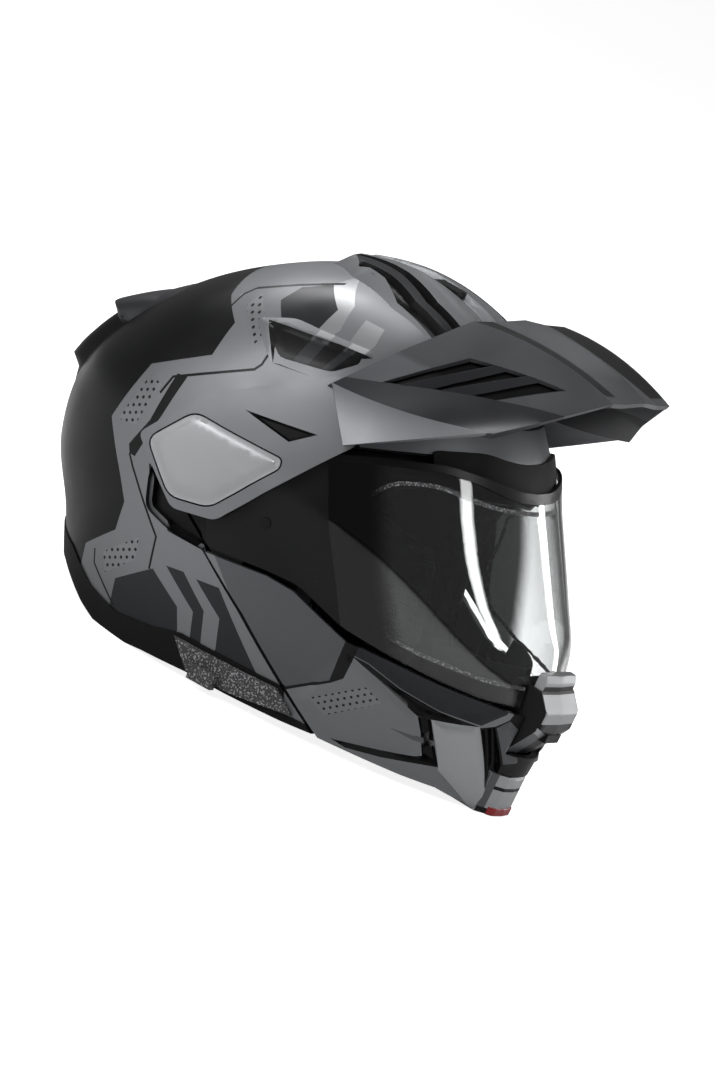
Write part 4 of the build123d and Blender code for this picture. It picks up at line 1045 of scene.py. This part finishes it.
# %% [markdown]
# Below each fin the arm runs on as a silver blade to the fin's lower corner. It is a ruled net between the
# fin's lower edge and a straight line from the arm's front corner.
# %% Blades of the arms
v = np.linspace(0, 0.985, 40)
top = peak_point(np.column_stack([np.full(40, 3.93), v])) + [1.0, 0, 0]
start = np.array([125.5, -0.485 * SIZE, 0.292 * SIZE])     # the arm's front corner
foot = start + (top[-1] - start) * v[:, None]
foot[:, 0] = start[0] + (top[-1, 0] - start[0]) * v**1.2
t = np.linspace(0, 1, 10)[None, :, None]
blade = top[:, None] * (1 - t) + foot[:, None] * t
quads = grid_faces(10, 40)
for side, sign in (("left", 1), ("right", -1)):
    made = piece("arm_blade_" + side, blade.reshape(-1, 3) * [sign, 1, 1], quads if sign < 0 else quads[:, ::-1],
                 [silver_paint])
    thicken(made, 1.8, 0.5)
    mount(made, "peak", "silver_paint")
print("blades of", len(quads), "quads")

# %% [markdown]
# On the crown sits the vent housing, a low hood with two channels a side. Its height over the shell is the
# sum of a plateau and the channels' negative plateaus, all drawn in the plan view.
# %% Crown vent
hood = drawn([(0.0, 0.22), (0.20, 0.19), (0.36, 0.02), (0.43, -0.22), (0.40, -0.50), (0.0, -0.50)], 2.0)
channel_a = drawn([(0.10, 0.13), (0.15, 0.13), (0.215, -0.10), (0.30, -0.28), (0.30, -0.49), (0.245, -0.49),
                   (0.24, -0.30), (0.155, -0.10)], 1.6)
channel_b = drawn([(0.25, 0.06), (0.285, 0.04), (0.33, -0.10), (0.40, -0.22), (0.395, -0.42), (0.355, -0.44),
                   (0.345, -0.26), (0.28, -0.10)], 1.6)
crest = drawn([(0.0, 0.16), (0.05, 0.14), (0.10, -0.12), (0.17, -0.34), (0.17, -0.49), (0.0, -0.49)], 2.0)
between = drawn([(0.15, 0.13), (0.25, 0.06), (0.28, -0.10), (0.345, -0.26), (0.355, -0.44), (0.30, -0.49),
                 (0.30, -0.28), (0.215, -0.10)], 1.6)


def hood_lift(p):
    """Hood, crest and channels in millimetres over the shell."""
    return (-0.4 + raised(hood, 6.2, 9.0, PLAN)(p) + raised(crest, 0.7, 5.0, PLAN)(p)
            - raised(channel_a, 5.0, 1.4, PLAN)(p) - raised(channel_b, 4.0, 1.4, PLAN)(p))


crown = panel("crown_hood", shell_skin, [], lambda p: inside(hood, flat_view(p, PLAN)) & (p[:, 2] > 40),
              [silver_paint, slate_paint, black_plastic], lift=hood_lift, gap=2.4, wall=2.2, soft=0.5,
              paint=painted(1, between, view=PLAN) + painted(2, channel_a, channel_b, view=PLAN),
              extra=[plan_lines(shell_skin, loop)
                     for loop in (hood, channel_a, channel_b, between, crest, inset(hood, 9.0),
                                  inset(channel_a, 1.4), inset(channel_b, 1.4), inset(crest, 5.0))])[0]
mount(crown, "shell", "black_plastic", "crown_vent")

# %% [markdown]
# Beside the vent a scoop stands off each side. Under a sharp crease it drops to a hollow painted black as shade.
# %% Side scoops
scoop = drawn([(0.18, 0.52), (0.02, 0.60), (-0.33, 0.63), (-0.36, 0.55), (-0.27, 0.45), (-0.03, 0.40)], 1.8,
              rounding=5)
shade = drawn([(0.11, 0.535), (-0.20, 0.586), (-0.36, 0.60), (-0.40, 0.50), (-0.27, 0.455), (-0.03, 0.415),
               (0.03, 0.47)], 1.6)
# the two bands where they cross the hollow, painted darker there as painted shade
shade_marks = [drawn([(-0.10, 0.58), (-0.16, 0.59), (-0.15, 0.40), (-0.09, 0.40)], 1.8),
               drawn([(-0.235, 0.60), (-0.27, 0.60), (-0.22, 0.40), (-0.19, 0.40)], 1.8)]
upper_marks = [drawn([(-0.10, 0.575), (-0.16, 0.585), (-0.17, 0.66), (-0.09, 0.66)], 1.8),
               drawn([(-0.235, 0.59), (-0.30, 0.595), (-0.31, 0.66), (-0.23, 0.66)], 1.8)]


def shaded_mark(p):
    """Inside the hollow and one of its two marks: the part of a band painted darker as painted shade."""
    return within(shade)(p) & (within(shade_marks[0])(p) | within(shade_marks[1])(p))


# painted shade: black over the hollow (finish 1) and slate over the bands inside it (finish 2)
scoops = panel(
    "scoop", shell_skin, [scoop, inset(scoop, 4.0), shade, inset(shade, 2.2), *shade_marks, *upper_marks],
    within(scoop), [silver_paint, black_paint, slate_paint, band_paint],
    lift=lambda p: -0.3 + raised(scoop, 2.1, 8.0)(p) - raised(shade, 1.3, 2.2)(p), gap=2.4, wall=1.6, soft=0.4,
    sides="pair", paint=[*painted(3, *upper_marks), *painted(1, shade), (2, shaded_mark)])
for made, side in zip(scoops, ("left", "right")):
    mount(made, "shell", "black_plastic", "side_scoop_" + side)

# %% [markdown]
# The rear spoiler is a short two-step wing. Its height is a broken line over the angle about the pivot axis,
# faded out towards both sides.
# %% Rear spoiler
wing_steps = np.array([(147, -0.4), (156, 3.0), (166.6, 13.5), (168.4, 7.0), (176, 7.6), (183, 9.0), (185.5, 2.5),
                       (191, -0.4)])


def angle_of(p):
    """The angle about the pivot axis in degrees, from the front over the crown to the rear."""
    return np.degrees(np.arctan2(p[:, 2], -p[:, 1])) % 360


def wing_lift(p):
    """Height by angle, times a fade over the last 16 mm to each side."""
    fade = np.clip((60 - np.abs(p[:, 0])) / 16, 0, 1)
    return -0.4 + (np.interp(angle_of(p), wing_steps[:, 0], wing_steps[:, 1]) + 0.4) * fade * (2 - fade)


def map_line(skin, around, x):
    """A line on the map through points given by their angles and their distances from the middle plane."""
    _, n = outline_at(skin, around)
    r = 90 - np.degrees(np.arcsin(np.clip(x / skin[1], 0, 1) ** (n / 2)))
    a = np.radians(around)
    return np.column_stack([-np.cos(a), np.sin(a)]) * r[:, None]


wing = panel("rear_wing", shell_skin, [],
             lambda p: (np.abs(p[:, 0]) < 60) & (np.abs(angle_of(p) - 169) < 22), [grey_paint, black_plastic],
             lift=wing_lift, gap=2.4, wall=1.6, soft=0.5, paint=[(1, lambda p: angle_of(p) > 167)],
             extra=[map_line(shell_skin, np.linspace(147, 191, 40), x) for x in (60, 44)]
             + [map_line(shell_skin, np.full(24, around), np.linspace(0, 60, 24))
                for around in (147.0, 156.0, 166.6, 168.4, 183.0, 185.5, 191.0)])[0]
mount(wing, "shell", "black_plastic", "rear_spoiler")

# %% [markdown]
# The nose block and the lower block are cut gems rather than boxes. Each is a net over (across, up) whose
# depth is the lowest of several slanting planes, which gives flat facets that meet in sharp lines.
# %% Blocks of the chin bar
def gem(name, half_width, low, high, back_at, planes, finishes, paint=(), across=41, along=25, soft=0.5):
    """A block seen from the front. Its face is y = the greatest of the planes a + b*|x| + c*z (furthest back
    wins), closed by a rim of walls at the depth back_at."""
    x, z = (g.ravel() for g in np.meshgrid(np.linspace(-half_width, half_width, across),
                                           np.linspace(low, high, along)))
    y = np.max([a + b * np.abs(x) + c * z for a, b, c in planes], axis=0)
    face = np.column_stack([x, np.minimum(y, back_at), z])
    faces = grid_faces(across, along)
    loop = np.concatenate([np.arange(across), np.arange(1, along) * across + across - 1,
                           np.arange(across - 2, -1, -1) + across * (along - 1),
                           np.arange(along - 2, 0, -1) * across])
    wall_points = face[loop].copy()
    wall_points[:, 1] = back_at
    j, k = np.arange(len(loop)), np.roll(np.arange(len(loop)), -1)
    walls = np.column_stack([loop[k], loop[j], j + len(face), k + len(face)])
    slots = np.zeros(len(faces) + len(walls), int)
    middle = face[faces].mean(1)
    for number, test in paint:
        slots[:len(faces)][test(middle)] = number
    made = piece(name, np.concatenate([face, wall_points]), np.concatenate([faces, walls]), finishes, slots)
    bevel = made.modifiers.new("edges", "BEVEL")
    bevel.width, bevel.segments, bevel.limit_method = soft * MM, 2, "ANGLE"
    bevel.angle_limit, bevel.harden_normals = np.radians(24), True
    print(name, len(made.data.polygons), "faces")
    return made


def zone(low=-200.0, high=200.0, reach=200.0):
    """A test for a block's face: between two heights, and no further than reach from the middle plane."""
    return lambda p: (p[:, 2] > low) & (p[:, 2] < high) & (np.abs(p[:, 0]) < reach)


def lip_height(p):
    """The silver lip on the nose block: a V that is lowest on the middle plane."""
    return -71.5 + 0.32 * np.abs(p[:, 0])


nose = gem("nose_top", 22.8, -84.0, -43.5, -178.0,
           [(-205.5, 0.04, 0.0), (-196.0, 0.02, 0.18), (-217.5, 0.62, 0.0), (-160.0, 0.04, 0.85),
            (-247.0, 0.15, -0.62)],
           [black_plastic, mid_paint, light_paint, slate_paint], across=77, along=58,
           paint=[(2, zone(low=-59.5, reach=21.5)), (0, zone(low=-45.0)), (3, zone(-66.0, -59.5, 17.0)),
                  (0, lambda p: (np.abs(p[:, 0]) > 21.5) & (p[:, 2] > -62.0)),
                  (1, lambda p: p[:, 2] < lip_height(p)),
                  (0, lambda p: (p[:, 2] < lip_height(p)) & (np.abs(p[:, 0]) < 9)),
                  (2, lambda p: np.abs(p[:, 2] - lip_height(p)) < 1.6)])
mount(nose, "chin_bar", "black_plastic", "nose_block")
nose_lip = gem("nose_lip", 20.5, -45.0, -35.0, -190.0, [(-197.0, 0.05, 0.0), (-177.5, 0.05, 0.5)],
               [light_paint, black_plastic], across=25, along=13, paint=[(1, zone(high=-41.0))])
mount(nose_lip, "chin_bar", "silver_paint")
block = gem("lower_gem", 21.8, -121.5, -97.0, -176.5,
            [(-198.5, 0.08, 0.0), (-204.0, 0.60, 0.0), (-139.0, 0.05, 0.60), (-290.0, 0.0, -0.78)],
            [light_paint, black_plastic, mid_paint], across=45, along=37,
            paint=[(1, zone(-106.7, -104.5)), (1, zone(low=-98.0)), (2, lambda p: np.abs(p[:, 0]) > 16.5),
                   (1, zone(high=-118.0))])
mount(block, "chin_bar", "black_plastic", "latch_block")
button = gem("red_button", 15.0, -121.6, -117.0, -180.0, [(-199.2, 0.08, 0.0), (-205.0, 0.60, 0.0)],
             [red_plastic], across=21, along=7)
mount(button, "button", "red_plastic", "release_button")

# %% [markdown]
# Inside, everything soft lies against the impact foam: a crown pad, two cheek pads and a neck roll. Each starts
# as a layer of the skin between two depths in millimetres, cut by its outline. Near the outline its walls run
# straight across the helmet, as a trimmer's knife cuts, and towards the middle plane they turn to follow the
# skin.
# %% Layers
def deeper(skin, depth):
    """The same skin a depth further in, in millimetres."""
    rows = skin[0].copy()
    rows[:, 1] -= depth / SIZE
    return rows, skin[1] - depth


def layer(skin, outer, inner, loops, keep, gap=5.0, sides="both"):
    """Points and triangles of a closed body between two depths. Its outer face is meshed as a panel is, and
    the inner face repeats the triangles: near the outline a point keeps the side view place of the one above
    it, further in it keeps the map's place. Walls join the two faces along their border."""
    top_skin, foot_skin = deeper(skin, outer), deeper(skin, inner)
    lines = [line for loop in loops for line in side_lines(top_skin, loop)]
    uv, faces = meshed(lines, field(gap), lambda m: keep(skin_point(top_skin, m)), gap * 0.3)
    top = skin_point(top_skin, uv)
    straight, rho = side_to_map(foot_skin, top[:, 1:])
    near = np.min([edge_distance(loop, top[:, 1:]) for loop in loops], axis=0)
    weight = np.clip(1 - near / 28, 0, 1) * np.clip((0.92 - rho) / 0.15, 0, 1)
    foot = skin_point(foot_skin, uv + (straight - uv) * weight[:, None])
    faces = outward(top, faces)
    n = len(top)
    edges = np.concatenate([faces[:, [0, 1]], faces[:, [1, 2]], faces[:, [2, 0]]])
    border = edges[~np.isin(edges[:, 0] * n + edges[:, 1], edges[:, 1] * n + edges[:, 0])]
    if sides == "both":
        seam = np.hypot(uv[:, 0], uv[:, 1]) > MAP_RIM
        top[seam, 0], foot[seam, 0] = 0, 0
        border = border[~(seam[border[:, 0]] & seam[border[:, 1]])]
    a, b = border.T
    walls = np.concatenate([np.column_stack([b, a, a + n]), np.column_stack([b, a + n, b + n])])
    points, faces = np.concatenate([top, foot]), np.concatenate([faces, faces[:, ::-1] + n, walls])
    return both_halves(points, faces) if sides == "both" else (points, faces)


# %% [markdown]
# A pad is stuffed the way a real one is. The layer is remeshed into even squares, drawn in a little and blown
# up as cloth under pressure for twenty frames. No point may travel further than the cap, and hardly at all
# towards the foam behind it, so the pad crowns on the side that meets the head. The sewn channel is pressed in
# afterwards, along a line of the side view.
# %% Stuffing a pad
def settled(made):
    """Takes the shape that a piece's modifiers give into its own mesh, and clears them."""
    graph = bpy.context.evaluated_depsgraph_get()
    mesh = bpy.data.meshes.new_from_object(made.evaluated_get(graph), depsgraph=graph)
    made.modifiers.clear()
    made.data = mesh
    return made


def vertex_rows(mesh, name):
    """One vertex property (co or normal) as rows of three numbers."""
    rows = np.empty(len(mesh.vertices) * 3)
    mesh.vertices.foreach_get(name, rows)
    return rows.reshape(-1, 3)


def stuffed(name, node, shape, voxel=4.5, drawn_in=2.0, cap=5.0, channels=()):
    """A pad from a layer's points and triangles: channels are side view lines pressed in by a soft V,
    1.8 mm * exp(-(distance / 2.2)^2). node is the CAD pad that it stands for."""
    made = piece(name, *shape, [lining_cloth])
    even = made.modifiers.new("even", "REMESH")
    even.mode, even.voxel_size = "VOXEL", voxel * MM
    settled(made)
    before, normal = vertex_rows(made.data, "co"), vertex_rows(made.data, "normal")
    start = before - normal * drawn_in * MM
    made.data.vertices.foreach_set("co", start.ravel())
    made.data.update()
    cloth = made.modifiers.new("cloth", "CLOTH")
    cloth.settings.use_pressure, cloth.settings.uniform_pressure_force = True, 4.0
    cloth.settings.effector_weights.gravity = 0
    for frame_number in range(1, 21):
        bpy.context.scene.frame_set(frame_number)
    settled(made)
    bpy.context.scene.frame_set(1)
    move = vertex_rows(made.data, "co") - start
    length = np.maximum(np.linalg.norm(move, axis=1, keepdims=True), 1e-9)
    out = before - pivot
    behind = (normal * out).sum(1, keepdims=True) > 0.3 * np.linalg.norm(out, axis=1, keepdims=True)
    limit = np.where(behind, drawn_in * 0.9, cap) * MM
    co = start + move * np.minimum(1, limit / length)
    for line in channels:
        near = edge_distance(line, (co - pivot)[:, 1:] / MM)
        co -= normal * (1.8 * MM * np.exp(-(near / 2.2) ** 2))[:, None]
    made.data.vertices.foreach_set("co", co.ravel())
    made.data.polygons.foreach_set("use_smooth", np.ones(len(made.data.polygons), bool))
    made.data.update()
    finer = made.modifiers.new("finer", "SUBSURF")
    finer.levels = finer.render_levels = 1
    mount(made, "shell", "lining", node)
    print(name, len(made.data.polygons), "squares, moved up to", round(float(length.max() / MM), 1), "mm")


crown_loop = drawn([(-0.55, 0.30), (-0.80, 0.9), (0.5, 0.9), (0.9, 0.35), (0.45, 0.25), (-0.1, 0.35)], rounding=10)
stuffed("crown_cushion", "crown_pad", layer(shell_skin, 37.6, 44.0, [crown_loop], within(crown_loop)), voxel=4.0,
        drawn_in=1.6, channels=[drawn([(-0.3, 0.3), (-0.35, 0.9)], closed=False),
                                drawn([(0.15, 0.3), (0.15, 0.9)], closed=False)])
cheek_loop = drawn([(-0.06, -0.16), (-0.50, -0.18), (-0.60, -0.50), (-0.62, -0.69), (-0.05, -0.70), (0.02, -0.4)],
                   rounding=10)
points, faces = layer(shell_skin, 37.2, 60.0, [cheek_loop], within(cheek_loop), sides="pair")
for side, sign in (("left", 1), ("right", -1)):
    stuffed("cheek_cushion_" + side, "cheek_pad_" + side,
            (points * [sign, 1, 1], faces if sign > 0 else faces[:, ::-1]), channels=[inset(cheek_loop, 13.0)])
roll_loop = drawn([(0.10, -0.60), (0.10, -0.76), (0.292, -0.735), (0.471, -0.652), (0.80, -0.61), (1.3, -0.59),
                   (1.3, -0.30), (0.70, -0.35), (0.3, -0.52)], rounding=6)
stuffed("neck_cushion", "neck_roll", layer(shell_skin, 37.2, 51.0, [roll_loop], within(roll_loop)),
        channels=[drawn([(0.12, -0.68), (0.3, -0.63), (0.72, -0.47), (1.3, -0.44)], closed=False)])

# %% [markdown]
# The chin curtain is a strip of cloth stretched under the chin, and the chin strap is flat webbing. Both are
# too thin for a cloth simulation, so they are worked out directly: the curtain is a panel deep inside the
# skin, the strap a ribbon along a smoothed path.
# %% Chin curtain and chin strap
curtain_loop = drawn([(-1.0, -0.66), (-1.7, -0.66), (-1.7, -0.84), (-1.0, -0.82)], rounding=6)
curtain = panel("chin_curtain_cloth", deeper(face_skin, 26.3), [curtain_loop],
                lambda p: inside(curtain_loop, p[:, 1:]) & (p[:, 2] > -121), [lining_cloth], gap=3.0, wall=1.5,
                soft=0.0)[0]
co, tri = vertex_rows(curtain.data, "co"), np.array([tuple(f.vertices) for f in curtain.data.polygons])
mount(curtain, "chin_bar", "lining", "chin_curtain")

strap_path = drawn([(0.70, -0.757), (0.685, -0.80), (0.56, -0.838), (0.44, -0.852), (-0.40, -0.852)], 2.0,
                   closed=False)
for _ in range(8):
    strap_path[1:-1] = (strap_path[:-2] + 2 * strap_path[1:-1] + strap_path[2:]) / 4


def ribbon(name, node, path, width=22.0, wall=1.8, setback=14.0):
    """Webbing along a path (across, up): seven points wide, with its edges rounded."""
    s = np.linspace(-1, 1, 7)
    points = np.stack(np.broadcast_arrays(path[:, None, 0], -setback + s[None] * width / 2, path[:, None, 1]), -1)
    made = piece(name, points.reshape(-1, 3), grid_faces(7, len(path)), [webbing])
    thicken(made, wall, 0.3).modifiers["wall"].offset = 0
    mount(made, "shell", "strap", node)


ribbon("strap_left", "chin_strap_left", strap_path[strap_path[:, 0] > -48.0])
ribbon("strap_right", "chin_strap_right", (strap_path * [-1, 1])[strap_path[:, 0] > 53.0])
print("two straps of webbing")

# %% [markdown]
# The lower edge of the shell is bound by a moulded rubber trim that the helmet stands on, and the eyeport by a
# rubber seal. The trim is a layer too, with its corners rounded.
# %% Rubber trim
trim = drawn([(1.3, -0.70), (0.80, -0.715), (0.515, -0.752), (0.337, -0.84), (0.24, -0.872), (0.05, -0.872),
              (-0.039, -0.858), (-0.259, -0.837), (-0.429, -0.838), (-0.671, -0.832), (-0.80, -0.824),
              (-0.80, -2.8), (1.3, -2.8)])
edge_trim = piece("rim_trim", *layer(
    shell_skin, -0.8, 7.0, [rim, trim, front_zone],
    lambda p: (within(rim)(p) & ~within(trim)(p) & ~within(front_zone)(p)
               & (p[:, 2] > FLOOR) & (p[:, 1] > -0.80 * SIZE))), [rubber])
thicken(edge_trim, 0.0, 0.9, 3)
mount(edge_trim, "shell", "seal", "base_trim")
print("rim_trim", len(edge_trim.data.polygons), "triangles")

# %% [markdown]
# Pieces whose CAD shape is already right keep it and take a finish by the record's material slot.
# %% Finishes for the CAD pieces
by_slot = {"shell_paint": black_paint, "silver_paint": silver_paint, "dark_paint": grey_paint,
           "black_plastic": black_plastic, "grey_plastic": mica_plastic, "foam": foam_black,
           "lining": lining_cloth, "strap": webbing, "seal": rubber, "clear": clear_lens,
           "sun_tint": smoke_lens, "red_plastic": red_plastic, "steel": steel}
for part in frame["record"]["subparts"]:
    node = frame["nodes"][part["node"]]
    node.data.materials.clear()
    node.data.materials.append(black_paint if part["node"] == "brow_cap" else by_slot[part["material_slot"]])
